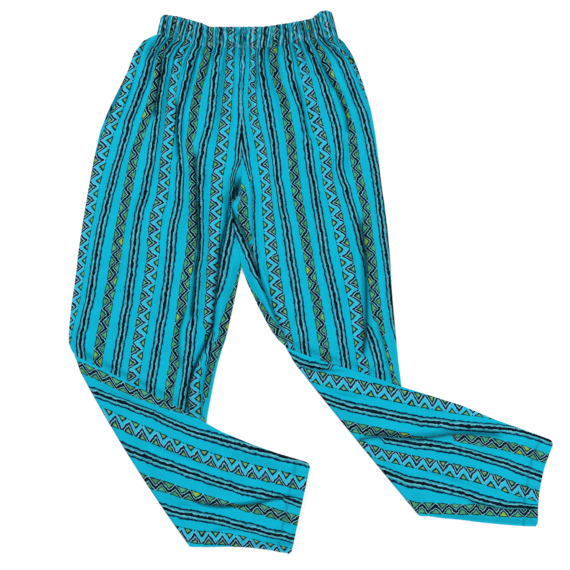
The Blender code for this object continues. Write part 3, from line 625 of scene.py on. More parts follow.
class StripeChart:
    """Courses of stripes and creases over a part of the cloth, sampled once a pixel along.

    Where two stripes that show lie closer than the cloth's own pitch, the creases between them
    hide the rest of it. The chart adds each crease's hidden width to all that lies beyond the
    crease, which gives places on the flat cloth, and the stripe's number is read off there by
    straight lines from one stripe to the next. What small gathers still take up is taken from
    the plain ground, by a sine of the number, so that the stripes keep their own width. Side is
    1 where the stripes' numbers rise with the pixels across the courses, and -1 where they fall.
    """

    def __init__(self, stripes, creases, first, last, side, pitch, own_pitch):
        self.first = first
        self.side = side
        along = np.arange(first, last + 1, dtype=float)
        step = pitch(along)
        numbers = np.array(sorted({number for number, _ in stripes}), dtype=float)
        lines = np.full((len(numbers), len(along)), np.nan)
        for number, course in stripes:
            inside = (along >= course[0][0]) & (along <= course[-1][0])
            lines[np.searchsorted(numbers, number), inside] = side * np.interp(
                along, *zip(*course)
            )[inside]
        tucks = [np.array(course, dtype=float) for *_, hides, course in creases if hides]
        middles = np.array([side * np.interp(along, *tuck.T) for tuck in tucks])
        strength = np.array([
            smooth((along - tuck[0, 0]) / CREASE_FADE + 0.2)
            * smooth((tuck[-1, 0] - along) / CREASE_FADE + 0.2)
            for tuck in tucks
        ])
        hidden = self.hidden_widths(lines, numbers, middles, strength, step)
        beyond = lines[:, None, :] > middles[None, :, :]
        flat = lines + (beyond * hidden[None, :, :]).sum(axis=1)
        flat = self.fill(flat, numbers, step)
        outer = 4.0
        self.numbers = [numbers[0] - outer, *numbers, numbers[-1] + outer]
        self.flat = self.soften(np.vstack((flat[0] - outer * step, flat, flat[-1] + outer * step)))
        self.hidden = self.soften(hidden)
        self.middles = self.soften(middles)
        apart = np.diff(self.flat, axis=0) / np.diff(self.numbers)[:, None]
        whole = np.diff(self.numbers)[:, None] % 1.0 == 0.0
        self.taken_up = np.where(whole, np.clip(1.0 - apart / own_pitch, 0.0, 0.6), 0.0)

    @staticmethod
    def hidden_widths(lines, numbers, middles, strength, step):
        """Cloth between each two stripes that show, less what shows of it, shared out among the
        creases between them by their strength."""
        hidden = np.zeros_like(middles)
        for level in range(lines.shape[1]):
            shown = np.nonzero(~np.isnan(lines[:, level]))[0]
            for near, far in zip(shown[:-1], shown[1:]):
                start, end = lines[near, level], lines[far, level]
                between = (middles[:, level] > start) & (middles[:, level] <= end)
                share = strength[:, level] * between
                missing = (numbers[far] - numbers[near]) * step[level] - (end - start)
                hidden[:, level] += max(missing, 0.0) * share / max(share.sum(), 1.0)
        return hidden

    @staticmethod
    def fill(flat, numbers, step):
        """Give each hidden stretch of a stripe its place between or beyond its neighbours."""
        for level in range(flat.shape[1]):
            shown = ~np.isnan(flat[:, level])
            known = numbers[shown]
            places = flat[shown, level]
            filled = np.interp(numbers, known, places)
            filled -= np.maximum(known[0] - numbers, 0.0) * step[level]
            filled += np.maximum(numbers - known[-1], 0.0) * step[level]
            flat[:, level] = filled
        return flat

    @staticmethod
    def soften(rows):
        """Running mean over five samples, which rounds the corners of the courses."""
        padded = np.pad(rows, ((0, 0), (2, 2)), mode="edge")
        width = rows.shape[1]
        return sum(padded[:, shift : shift + width] for shift in range(5)) / 5.0

    def number_at(self, along, aside):
        """Number of the stripe, with its fraction, at places given in pixels."""
        place = np.clip(along - self.first, 0.0, self.flat.shape[1] - 1.001)
        base = place.astype(int)
        part = place - base
        flat = self.side * aside
        aside = flat.copy()

        def at(rows, row):
            return rows[row, base] * (1.0 - part) + rows[row, base + 1] * part

        for row in range(len(self.middles)):
            flat = flat + at(self.hidden, row) * (aside > at(self.middles, row))
        number = np.full_like(flat, self.numbers[0])
        for row in range(len(self.numbers) - 1):
            start = at(self.flat, row)
            run = np.maximum(at(self.flat, row + 1) - start, 0.01)
            share = np.clip((flat - start) / run, 0.0, 1.0)
            rise = self.numbers[row + 1] - self.numbers[row]
            swing = at(self.taken_up, row) / (2.0 * math.pi)
            number = number + share * rise - swing * np.sin(2.0 * math.pi * share * rise)
        return number


def front_pitch(along):
    """The cloth's own pitch, in pixels, at a level of the fronts."""
    return np.interp(along, OWN_PITCH[:, 0], OWN_PITCH[:, 1])


def back_pitch(along):
    """The cloth's own pitch, in pixels, on the lower legs."""
    return np.full_like(np.asarray(along, dtype=float), FOLDED_PITCH)


for leg in LEGS.values():
    leg["front_chart"] = StripeChart(
        leg["front_stripes"], leg["front_creases"], 30, 430, leg["outward"], front_pitch,
        OWN_PITCH[-1, 1],
    )
    leg["back_chart"] = StripeChart(
        leg["back_stripes"], leg["back_creases"], *leg["back_span"], 1.0, back_pitch,
        FOLDED_PITCH,
    )


def crease_relief(creases, along, aside, outward, extra):
    """Sum of the creases, and how deep in one each point lies, from 0 to 1. Each is a trough
    whose depth falls off as a bell curve of the distance across it, with a low ridge beside it
    where one side lies over, fading out at both ends."""
    relief = np.zeros_like(along)
    shade = np.zeros_like(along)
    for half_width, depth, lip, hides, course in creases:
        points = np.array(course, dtype=float)
        slope = np.gradient(points[:, 1], points[:, 0])
        middle = np.interp(along, points[:, 0], points[:, 1])
        lean = np.interp(along, points[:, 0], slope)
        distance = (aside - middle) / np.sqrt(1.0 + lean**2) * PHOTO_SCALE / MM
        length = points[-1, 0] - points[0, 0]
        end = min(0.3 * length, CREASE_END) if hides else 0.45 * length
        fade = smooth((along - points[0, 0]) / end + 0.25) * smooth(
            (points[-1, 0] - along) / end + 0.25
        )
        relief -= fade * extra * depth * np.exp(-((distance / half_width) ** 2))
        ridge = distance - math.copysign(LIP_AWAY * half_width, outward * lip)
        relief += fade * extra * abs(lip) * np.exp(-((ridge / (LIP_WIDTH * half_width)) ** 2))
        # Painted shade: the colour is darkened along the middle of the crease, most where cloth is
        # hidden in it or it is deep.
        dark = min(depth / 6.0, 1.0) if hides else min(max(depth - 4.0, 0.0) / 2.4, 1.2)
        dark = dark * fade * np.exp(-((distance / (0.5 * half_width)) ** 2))
        shade = np.maximum(shade, dark)
    return relief * MM, shade


# --- Shape of the cut pieces ---


def casing_seam_down(x):
    """How far down the casing seam is at a distance x to the right of its middle."""
    return np.interp(x, CASING[:, 0], CASING[:, 1])


def section_points(table, place, across):
    """Out and down of points a fraction across from the side seam to the inner seam: on the
    straight line between the two seams, plus a parabola bowed to the line's outer side."""
    rows = np.arange(len(table))
    side_out, side_down, inner_out, inner_down, bow = (
        np.interp(place, rows, table[:, column]) for column in range(table.shape[1])
    )
    run_out = inner_out - side_out
    run_down = inner_down - side_down
    length = np.hypot(run_out, run_down)
    bulge = bow * 4.0 * across * (1.0 - across) / length
    out = side_out + run_out * across + run_down * bulge
    down = side_down + run_down * across - run_out * bulge
    return out, down, length


def seam_sag(leg, place, across):
    """Extra drop that makes the top of a panel follow the casing seam, fading below it."""
    side_out, side_down = leg["upper"][0, :2]
    seam_x = leg["outward"] * side_out * (1.0 - across)
    straight_down = side_down * (1.0 - across)
    fade = 1.0 - smooth(place / SAG_ROWS)
    return (casing_seam_down(seam_x) - straight_down) * fade


def fold_normal(leg):
    """The direction, as out and down, that the folded edge of a leg faces."""
    side_out, side_down, inner_out, inner_down = leg["upper"][-1, :4]
    run_out = inner_out - side_out
    run_down = inner_down - side_down
    length = math.hypot(run_out, run_down)
    return run_down / length, -run_out / length


def distance_from_fold(leg, out, down):
    """Distance of a point from the folded edge's axis, in towards the cloth."""
    normal_out, normal_down = fold_normal(leg)
    side_out, side_down = leg["upper"][-1, :2]
    return -((out - side_out) * normal_out + (down - side_down) * normal_down)


def covered(leg, out, down):
    """1 where a lower leg lies on an upper leg, falling to 0 past its edge, which is the side
    seam of the left leg and the inside leg seam of the right."""
    first = 0 if leg["outward"] < 0.0 else 2
    edge_x = leg["outward"] * leg["lower"][:, first]
    edge_down = np.interp(leg["outward"] * out, edge_x, leg["lower"][:, first + 1])
    return 1.0 - smooth((edge_down - down - COVER_START) / COVER_WIDTH)


def soft_floor(height):
    """The height itself where it is well above nothing, easing to nothing where it is below."""
    ease = 0.5 * MM
    return 0.5 * (height + np.sqrt(height**2 + ease**2) - ease)


def gather_phase(start, number):
    """Phase of the finest gathers, two to a stripe and unevenly spaced by slower sines."""
    turn = 2.0 * math.pi * number
    return 2.0 * turn + 0.9 * np.sin(0.41 * turn + start) + 0.5 * np.sin(1.13 * turn + start)


def gathered_number(start, number, down, hidden):
    """Number of the stripe that shows where gathers hide cloth, from 0, none, to 1, as much as
    under the casing. The print keeps its own pitch on the ridges and runs together in the
    grooves, so a sine of the gathers' phase is taken off, and small tucks shift it from side to
    side down the gathers, by sines of the depth."""
    finer = 0.18 * np.sin(gather_phase(start, number)) / (4.0 * math.pi)
    tucks = 0.05 * np.sin(down / (4.1 * MM) + 5.0 * number) * np.sin(
        down / (11.0 * MM) - 3.1 * number
    )
    return number - hidden * (finer + tucks)


def gather_relief(start, number, down, height):
    """Gathers under the casing, fixed to the cloth: sines of the stripe's number, the finer
    ones fading first, each uneven by a slower sine."""
    turn = 2.0 * math.pi * number
    uneven = 1.0 + 0.35 * np.sin(0.37 * turn + start) + 0.2 * np.sin(0.83 * turn + 2.0 * start)
    fine = np.cos(gather_phase(start, number))
    broad = np.cos(turn + 1.3 * np.sin(0.23 * turn + start) + start)
    slow = np.cos(0.5 * turn + 2.0 * start)
    waves = 0.5 * (1.0 - smooth(down / FINE_FADE)) * fine
    for share, wave, (grown, held, fade) in ((0.6, broad, BROAD_FADE), (0.35, slow, SLOW_FADE)):
        shows = smooth(down / grown) * (1.0 - smooth((down - held) / fade))
        waves = waves + share * shows * wave
    return height * waves * uneven * smooth(number / CENTRE_PLAIN)


def ripple(x, down, seed):
    """Unevenness of cloth smoothed out by hand: crossing sine waves that run mostly down the
    leg, each bent by a slow one."""
    bent = x / MM + 7.0 * np.sin(down / (71.0 * MM) + seed) + 4.0 * np.sin(down / (33.0 * MM))
    fall = down / MM + 9.0 * np.sin(x / (47.0 * MM) + 2.0 * seed)
    height = np.zeros_like(bent)
    for wave, (length, turn, rise) in enumerate(RIPPLES):
        angle = math.radians(turn)
        run = bent * math.cos(angle) + fall * math.sin(angle)
        height += rise * np.sin(2.0 * math.pi * run / length + seed * (wave + 1.0) + 1.7 * wave)
    return height * MM


def panel_shape(leg, across, out, down, length, apart):
    """Share of its relief that a panel's cloth keeps at its side seam, and in all: nothing at
    its seams and at the folded edge. Apart is 1 where the legs are apart, and 0 above the
    crotch, where the inner seam is no edge."""
    from_side = smooth(across * length / EDGE_ROLL)
    from_inner = 1.0 - apart * (1.0 - smooth((1.0 - across) * length / EDGE_ROLL))
    return from_side, from_side * from_inner * smooth(
        distance_from_fold(leg, out, down) / FOLD_EASE
    )


def front_upper_height(leg, place, across, out, down, length, settings, number):
    """Middle of the front panel's cloth over the floor, from the casing to the folded edge, and
    how deep in a groove it lies."""
    apart = smooth((place - PARTING[0]) / (PARTING[1] - PARTING[0]))
    from_side, shape = panel_shape(leg, across, out, down, length, apart)
    shape = shape * (1.0 - (1.0 - PRESSED) * covered(leg, out, down))
    px, py = photo_pixels(out, down, leg["outward"])
    relief = settings.loft * (LOFT_AT_WAIST + (1.0 - LOFT_AT_WAIST) * smooth(down / LOFT_RISE))
    relief = relief + ripple(leg["outward"] * out, down, RIPPLE_SEEDS["front"])
    creases, shade = crease_relief(
        leg["front_creases"], py, px, leg["outward"], settings.crease_depth
    )
    relief = (relief + creases) * shape
    gathers = gather_relief(leg["start"], number, down, settings.gather_height)
    relief = relief + gathers * (GATHERS_AT_SIDE + (1.0 - GATHERS_AT_SIDE) * from_side)
    lift = WAIST_LIFT * (1.0 - smooth((down - LIFT_HELD) / LIFT_FADE))
    lap = 0.0
    if leg["outward"] > 0.0:
        lap = LAP_HEIGHT * smooth((across - LAP_ACROSS[0]) / LAP_ACROSS[1]) * smooth(
            1.0 - np.abs(down - LAP_MIDDLE[0]) / LAP_MIDDLE[1]
        )
    # Painted shade in the grooves between the finest gathers, and right under the casing.
    groove = (0.5 - 0.5 * np.cos(gather_phase(leg["start"], number))) ** 2
    groove = groove * (1.0 - smooth(down / GROOVE_FADE)) * smooth(number / CENTRE_PLAIN)
    waist = WAIST_DARK * (1.0 - smooth(down / WAIST_FADE))
    shade = np.maximum(shade, GROOVE_DARK * groove + waist)
    return 1.5 * LAYER + GAP + lift + lap + soft_floor(relief), shade


def front_lower_height(leg, out, down):
    """Middle of the front panel's cloth past the fold: on the upper leg, then on the floor."""
    (out_a, down_a), (out_b, down_b) = leg["hidden_edge"]
    edge_out = out_a + (out_b - out_a) * (down - down_a) / (down_b - down_a)
    beyond = leg["outward"] * (out - edge_out)
    rest = STACK_HEIGHT * (1.0 - smooth((beyond - STEP_START) / STEP_WIDTH))
    fold_bottom = FOLD_HEIGHT - 2.0 * LAYER - GAP
    settled = smooth(distance_from_fold(leg, out, down) / SETTLE_LENGTH)
    return fold_bottom + (rest - fold_bottom) * settled + 0.5 * LAYER


def back_lower_height(leg, side, across, out, down, length, settings):
    """Middle of the back panel's cloth past the fold, where it is the upper layer, and how deep
    in a crease it lies."""
    _, shape = panel_shape(leg, across, out, down, length, 1.0)
    px, py = photo_pixels(out, down, leg["outward"])
    puff = LOWER_LOFT * settings.loft + ripple(out, down, RIPPLE_SEEDS[side])
    creases, shade = crease_relief(leg["back_creases"], px, py, 1.0, settings.crease_depth)
    puff = puff + creases
    for x_a, y_a, x_b, y_b, half_width, height in HEM_PUCKERS[side]:
        run_x = x_b - x_a
        run_y = y_b - y_a
        share = ((px - x_a) * run_x + (py - y_a) * run_y) / (run_x**2 + run_y**2)
        share = np.clip(share, 0.0, 1.0)
        away = np.hypot(px - x_a - share * run_x, py - y_a - share * run_y)
        away = away * PHOTO_SCALE / MM
        puff = puff + height * MM * np.exp(-((away / half_width) ** 2))
    height = front_lower_height(leg, out, down) + LAYER + GAP + soft_floor(puff * shape)
    return height, shade


def pocket_inset(side, place):
    """How far the front panel's edge stands back at the pocket opening: an arch over it."""
    first, last, depth = POCKETS[side]
    share = np.clip((place - first) / (last - first), 0.0, 1.0)
    return depth * np.sin(math.pi * share)


def panel_grid(side, layer, places, columns, settings):
    """Middle of a leg panel's cloth, and its UV. Places run from 0 at the casing down the upper
    leg to FOLD_PLACE, half a turn round the folded edge, and then to the hem."""
    leg = LEGS[side]
    place, across = np.meshgrid(places, np.linspace(0.0, 1.0, columns + 1), indexing="ij")
    upper = section_points(leg["upper"], place, across)
    lower = section_points(leg["lower"], place - LOWER_START, across)
    turned = place >= LOWER_START
    out = np.where(turned, lower[0], upper[0])
    down = np.where(turned, lower[1], upper[1] + seam_sag(leg, place, across))
    length = np.where(turned, lower[2], upper[2])

    if layer == "front":
        inset = pocket_inset(side, place) * (1.0 - smooth(across * length / INSET_REACH))
        lap = np.interp(down, CENTRE_LAP[:, 0], CENTRE_LAP[:, 1]) * across
        out = out - inset - leg["outward"] * lap
        radius = 0.5 * FOLD_HEIGHT - 1.5 * LAYER - GAP
    else:
        radius = 0.5 * (FOLD_HEIGHT - LAYER)
    angle = math.pi * (np.clip(place - FOLD_PLACE, 0.0, 1.0) - 0.5)
    from_corner = np.minimum(across, 1.0 - across) * length
    at_hem = smooth((place - HEM_PLACE) / HEM_CORNER_ROWS + 1.0)
    corner = smooth(1.0 - from_corner / HEM_CORNER) * at_hem
    out = out - 0.5 * HEM_CORNER * corner * leg["outward"]
    normal_out, normal_down = fold_normal(leg)
    from_fold_end = (across if side == "left" else 1.0 - across) * length
    rounded = smooth(from_fold_end / FOLD_TAPER)
    past_fold = np.maximum(np.abs(place - FOLD_PLACE - 0.5) - 0.5, 0.0)
    pulled = smooth(1.0 - (length - from_fold_end) / FOLD_CORNER) * smooth(1.0 - past_fold)
    bend = radius * np.maximum(np.cos(angle) * (0.1 + 0.9 * rounded), pulled)
    out = out + normal_out * bend
    down = down + normal_down * bend
    px, py = photo_pixels(out, down, leg["outward"])
    front_number = leg["front_chart"].number_at(py, px)
    back_number = leg["back_chart"].number_at(px, py)
    folded = place > FOLD_PLACE - BACK_PRINT_EARLY * (layer == "back")
    if layer == "front":
        before, shade = front_upper_height(
            leg, place, across, out, down, length, settings, front_number
        )
        after = front_lower_height(leg, out, down)
        shade = np.where(turned, 0.0, shade)
        hidden = 1.0 - smooth(down / GATHERED_LENGTH)
        number = gathered_number(leg["start"], front_number, down, hidden)
        number = np.where(folded, back_number, number)
    else:
        before = np.full_like(out, 0.5 * LAYER)
        after, shade = back_lower_height(leg, side, across, out, down, length, settings)
        from_stitches = place - STITCH_PLACE
        pressed = np.exp(-((from_stitches / STITCH_DIP) ** 2))
        after = after + HEM_RISE * (smooth(from_stitches / HEM_STEP) - pressed)
        # Painted shade along the dimple that the stitches press in.
        shade = np.where(turned, np.maximum(shade, STITCH_DARK * pressed), 0.0)
        number = np.where(folded, back_number, front_number)

    along = np.where(
        folded, px * PHOTO_SCALE / math.cos(FOLDED_SLOPE), down * FRONT_TAKE_UP
    )
    bending = (place > FOLD_PLACE) & (place < LOWER_START)
    height = np.where(turned, after, before)
    height = np.where(bending, 0.5 * FOLD_HEIGHT + radius * np.sin(angle), height)
    x = leg["outward"] * (out + 0.5 * GAP)
    y = -down - CASING_GAP * (1.0 - np.clip(place, 0.0, 1.0))
    cloth = np.stack((number, along, shade), axis=-1)
    return np.stack((x, y, height), axis=-1), cloth


def casing_grid(half, rows, columns, settings):
    """Upper and lower side of one half of the waist casing, and its UV. The upper side of the
    front half is ribbed by its elastic: each rib is a power of a cosine of the gathers' phase,
    uneven by slower sines, and its section is rounded over at the top and pinched at the
    seam. The middle of the centre front's stripe is taken into the centre seam: its number is
    the root of the sum of squares of the counted number and the share hidden."""
    place, across = np.meshgrid(
        np.linspace(0.0, 1.0, rows + 1), np.linspace(0.0, 1.0, columns + 1), indexing="ij"
    )
    seam_x = CASING[0, 0] + (CASING[-1, 0] - CASING[0, 0]) * across
    seam_down, top_x, top_down = (
        np.interp(seam_x, CASING[:, 0], CASING[:, column]) for column in (1, 2, 3)
    )
    seam_px = CENTRE_PX[0] + seam_x / PHOTO_SCALE
    top_px = CENTRE_PX[0] + top_x / PHOTO_SCALE
    at_seam = np.interp(seam_px, CASING_STRIPES["seam"], CASING_STRIPES["number"])
    at_top = np.interp(top_px, CASING_STRIPES["top"], CASING_STRIPES["number"])
    number = at_seam + (at_top - at_seam) * place
    outward = np.abs(number)
    start = np.where(number < 0.0, GATHER_START["left"], GATHER_START["right"])
    phase = gather_phase(start, outward)
    phase = phase + 0.5 * np.sin(2.6 * place + 0.9 * outward)
    phase = phase + 0.35 * np.sin(9.0 * place + 7.0 * outward)
    fine = 1.6 * phase + 1.3 * np.sin(3.1 * number) + 0.9 * np.sin(7.0 * place + 11.0 * outward)
    swing = 0.55 * np.sin(2.0 * math.pi * outward) / (2.0 * math.pi)
    depth = seam_down + (top_down - seam_down) * place
    shown = np.hypot(gathered_number(start, outward - swing, depth, 1.0), SEAM_HIDDEN)
    rib = (0.5 + 0.5 * np.cos(phase)) ** 0.7
    second = 0.5 + 0.5 * np.cos(0.5 * phase + 1.0 + 1.5 * place)
    uneven = 0.75 + 0.3 * np.sin(2.9 * number + 1.0) * np.sin(1.3 * number)
    rounded = (1.0 - place**6) ** 0.5
    pinched = 0.55 + 0.45 * smooth(place / 0.22)
    sides = smooth(np.minimum(across, 1.0 - across) * 40.0)
    relief = settings.rib_height * (rib * uneven + 0.3 * second) * rounded * pinched
    relief = relief + FINE_RIB * np.cos(fine) * rounded * pinched
    puff = CASING_PUFF * np.sin(math.pi * np.clip(place, 0.0, 1.0)) ** 0.7
    scallop = SCALLOP * (rib * uneven - 0.5) * place**3
    x = seam_x + (top_x - seam_x) * place
    down = depth - scallop
    # Painted highlight on the crests of the fine ribs, and painted shade in the grooves between
    # the ribs and over the casing away from its seam.
    rubbed = (0.5 + 0.5 * np.cos(fine)) ** 2 * (0.7 + 0.3 * np.sin(23.0 * place + 5.0 * number))
    groove = 0.34 * (0.5 - 0.5 * np.cos(phase)) ** 1.5 + 0.12 * smooth(place / 0.25)
    groove = groove + 0.5 * (0.5 - 0.5 * np.cos(fine)) ** 3
    groove = groove - 0.66 * rubbed * smooth(place / 0.1 + 0.3)
    cloth = np.stack((shown, down, groove), axis=-1)
    edge = CASING_EDGE[half]
    if half == "front":
        bottom = np.full_like(x, CASING_WALL + GAP)
        top = bottom + (CASING_WALL - edge) + (edge * rounded + relief + puff) * sides
    else:
        bottom = np.full_like(x, 0.0)
        top = bottom + CASING_WALL - edge + edge * rounded
    upper = np.stack((x, -down, top), axis=-1)
    lower = np.stack((x, -down, bottom), axis=-1)
    return upper, lower, cloth


def facing_grid(side, rows, columns):
    """Middle of a strip on the back panel behind a pocket opening, inside the side seam, with
    its inner edge rounded as part of a sine wave, and its UV."""
    leg = LEGS[side]
    first, last, _ = POCKETS[side]
    first = max(first - FACING_OVERRUN, FACING_OVERRUN)
    last = last + FACING_OVERRUN
    place, across = np.meshgrid(
        np.linspace(0.0, 1.0, rows + 1), np.linspace(0.0, 1.0, columns + 1), indexing="ij"
    )
    level = first + (last - first) * place
    rounded = np.sin(math.pi * (FACING_ENDS[0] + (FACING_ENDS[1] - FACING_ENDS[0]) * place))
    length = section_points(leg["upper"], level, across)[2]
    share = (GAP + across * FACING_WIDTH * rounded) / length
    out, down, _ = section_points(leg["upper"], level, share)
    down = down + seam_sag(leg, level, share)
    height = np.full_like(out, LAYER + GAP + 0.5 * LAYER)
    points = np.stack((leg["outward"] * out, -down, height), axis=-1)
    number = out / STRIPE_PITCH + FACING_NUMBER
    return points, np.stack((number, down, np.zeros_like(down)), axis=-1)


def grid_normals(points):
    """Unit normals of a grid of points from the cross product of its two slopes."""
    normal = np.cross(np.gradient(points, axis=0), np.gradient(points, axis=1))
    return normal / np.maximum(np.linalg.norm(normal, axis=-1, keepdims=True), 1e-12)


def smooth_rows(normal):
    """Running mean of the normals over three rows, which keeps thin walls free of pinches."""
    padded = np.pad(normal, ((1, 1), (0, 0), (0, 0)), mode="edge")
    mean = padded[:-2] + padded[1:-1] + padded[2:]
    return mean / np.maximum(np.linalg.norm(mean, axis=-1, keepdims=True), 1e-12)


def facing_out(points, quads):
    """The quads of a closed mesh, each turned round if the volume they enclose comes out below
    nothing: the sum, over their triangles, of x times the part of their area that faces x."""
    first, *rest = np.swapaxes(points[quads], 0, 1)
    spread = sum(np.cross(b - first, c - first) for b, c in zip(rest[:-1], rest[1:]))
    return quads if (first[:, 0] * spread[:, 0]).sum() > 0.0 else quads[:, ::-1]


def closed_cloth(name, upper, lower, cloth, material):
    """A closed wall from the grids of its two sides, joined by a rim on all four edges."""
    rows, columns = upper.shape[:2]
    count = rows * columns
    points = np.concatenate((upper.reshape(-1, 3), lower.reshape(-1, 3)))
    points[:, 0] += SEAM_MIDDLE[0]
    points[:, 1] += SEAM_MIDDLE[1]
    index = np.arange(count).reshape(rows, columns)
    top = np.stack((index[:-1, :-1], index[:-1, 1:], index[1:, 1:], index[1:, :-1]), axis=-1)
    border = np.concatenate((index[0, :], index[1:, -1], index[-1, -2::-1], index[-2:0:-1, 0]))
    following = np.roll(border, -1)
    rim = np.stack((border, border + count, following + count, following), axis=-1)
    bottom = top[..., ::-1].reshape(-1, 4) + count
    quads = np.concatenate((top.reshape(-1, 4), bottom, rim))
    quads = facing_out(points, quads)
    coordinates = np.concatenate((cloth.reshape(-1, 3), cloth.reshape(-1, 3)))
    piece = mesh_object(name, points, quads, coordinates[:, :2], material)
    shade = piece.data.attributes.new("groove", "FLOAT", "POINT")
    shade.data.foreach_set("value", coordinates[:, 2].astype(np.float32))
    return piece


def mesh_object(name, points, quads, coordinates, material):
    """An object of quads with one UV map, named cloth, from arrays."""
    mesh = bpy.data.meshes.new(name)
    mesh.vertices.add(len(points))
    mesh.vertices.foreach_set("co", points.ravel())
    mesh.loops.add(quads.size)
    mesh.loops.foreach_set("vertex_index", quads.ravel().astype(np.int32))
    mesh.polygons.add(len(quads))
    mesh.polygons.foreach_set("loop_start", np.arange(0, quads.size, 4, dtype=np.int32))
    mesh.polygons.foreach_set("use_smooth", np.ones(len(quads), dtype=bool))
    layer = mesh.uv_layers.new(name="cloth")
    layer.data.foreach_set("uv", coordinates[quads.ravel()].ravel())
    mesh.update(calc_edges=True)
    mesh.set_sharp_from_angle(angle=math.radians(60.0))
    mesh.materials.append(material)
    piece = bpy.data.objects.new(name, mesh)
    bpy.context.scene.collection.objects.link(piece)
    return piece


def stitch_line(side, settings):
    """Both ends of the stitches along a hem, and the cloth's normal there: every second run of
    a row of points across the back panel, on its upper side."""
    across = 2 * STITCHES
    places = STITCH_PLACE + ROW_STEP * np.array((-1.0, 0.0, 1.0))
    middle, _ = panel_grid(side, "back", places, across, settings)
    normal = grid_normals(middle)
    normal = normal * np.sign(normal[..., 2:])
    row = middle[1] + 0.5 * settings.wall * normal[1]
    pitch = row[2::2] - row[:-2:2]
    start = row[:-2:2] + 0.5 * (1.0 - STITCH_SHARE) * pitch
    return start, start + STITCH_SHARE * pitch, normal[1, 1:-1:2]


def bar_tack(side, settings):
    """Both ends of the short stitches laid side by side across the lower end of a pocket, and
    the cloth's normal there."""
    count, length, pitch = BAR_TACK
    places = BAR_TACK_PLACES[side] + ROW_STEP * np.array((-1.0, 0.0, 1.0))
    middle, _ = panel_grid(side, "front", places, TACK_COLUMNS, settings)
    normal = grid_normals(middle)
    normal = normal * np.sign(normal[..., 2:])
    from_edge = np.linalg.norm(middle[1] - middle[1, 0], axis=-1)
    column = int(np.argmin(np.abs(from_edge - BAR_TACK_IN)))
    centre = middle[1, column] + 0.5 * settings.wall * normal[1, column]
    downward = middle[2, column] - middle[0, column]
    downward = downward / np.linalg.norm(downward)
    sideways = np.cross(normal[1, column], downward)
    steps = (np.arange(count) - 0.5 * (count - 1)) * pitch
    middles = centre + steps[:, None] * downward
    normals = np.broadcast_to(normal[1, column], middles.shape)
    return middles - 0.5 * length * sideways, middles + 0.5 * length * sideways, normals


def thread_stitches(name, starts, ends, normals, material):
    """Stitches as one piece: each is a six-sided tube from its start to its end, raised off the
    cloth by half a sine wave and thinner at its ends, which are sunk in the cloth."""
    steps, sides = THREAD_CELLS
    share = np.linspace(0.0, 1.0, steps + 1)[None, :, None]
    run = ends - starts
    aside = np.cross(normals, run)
    aside = aside / np.linalg.norm(aside, axis=1, keepdims=True)
    arch = np.sin(math.pi * share)
    middle = starts[:, None] + run[:, None] * share
    middle = middle + normals[:, None] * THREAD_RADIUS * (1.2 * arch - 0.7)
    turn = 2.0 * math.pi * np.arange(sides)[:, None] / sides
    ring = np.cos(turn) * aside[:, None, None] + np.sin(turn) * normals[:, None, None]
    points = middle[:, :, None] + THREAD_RADIUS * (0.5 + 0.5 * arch[..., None]) * ring
    count, rings = points.shape[:2]
    index = np.arange(count * rings * sides).reshape(count, rings, sides)
    following = np.roll(index, -1, axis=2)
    walls = np.stack(
        (index[:, :-1], following[:, :-1], following[:, 1:], index[:, 1:]), axis=-1
    ).reshape(-1, 4)
    first = index[:, 0][:, [[0, 3, 2, 1], [0, 5, 4, 3]]].reshape(-1, 4)
    last = index[:, -1][:, [[0, 1, 2, 3], [0, 3, 4, 5]]].reshape(-1, 4)
    quads = np.concatenate((walls, first, last))
    points = points.reshape(-1, 3) + np.array((*SEAM_MIDDLE, 0.0))
    return mesh_object(name, points, facing_out(points, quads), points[:, :2], material)


def fit(piece, node):
    """Fasten a piece to the frame's one body, in place of its node."""
    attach(piece, "root")
    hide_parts(node)


# --- Materials ---


def linear(code):
    """A colour from its sRGB hex code, as the linear numbers that nodes take."""
    values = [int(code[start : start + 2], 16) / 255.0 for start in (1, 3, 5)]
    return [v / 12.92 if v <= 0.04045 else ((v + 0.055) / 1.055) ** 2.4 for v in values] + [1.0]


def add(tree, kind, *inputs, **settings):
    """Add a node with its settings, set or link its inputs in order, and give its output back."""
    node = tree.nodes.new("ShaderNode" + kind)
    for name, value in settings.items():
        setattr(node, name, value)
    sockets = [socket for socket in node.inputs if socket.enabled]
    for socket, value in zip(sockets, inputs):
        if isinstance(value, bpy.types.NodeSocket):
            tree.links.new(value, socket)
        elif value is not None:
            socket.default_value = value
    return next(socket for socket in node.outputs if socket.enabled)


def lay_line(tree, away, centre, half_width, code, band, where=None):
    """Lay a line on a band, where the distance away is within half the line's width of its
    centre, and only where it may show. A band is its colour and where it covers the cloth."""
    colour, cover = band
    line = add(tree, "Math", away, centre, operation="SUBTRACT")
    line = add(tree, "Math", line, operation="ABSOLUTE")
    line = add(tree, "Math", line, half_width, operation="LESS_THAN")
    if where is not None:
        line = add(tree, "Math", line, where, operation="MULTIPLY")
    colour = add(tree, "Mix", line, colour, linear(code), data_type="RGBA")
    return colour, add(tree, "Math", cover, line, operation="MAXIMUM")


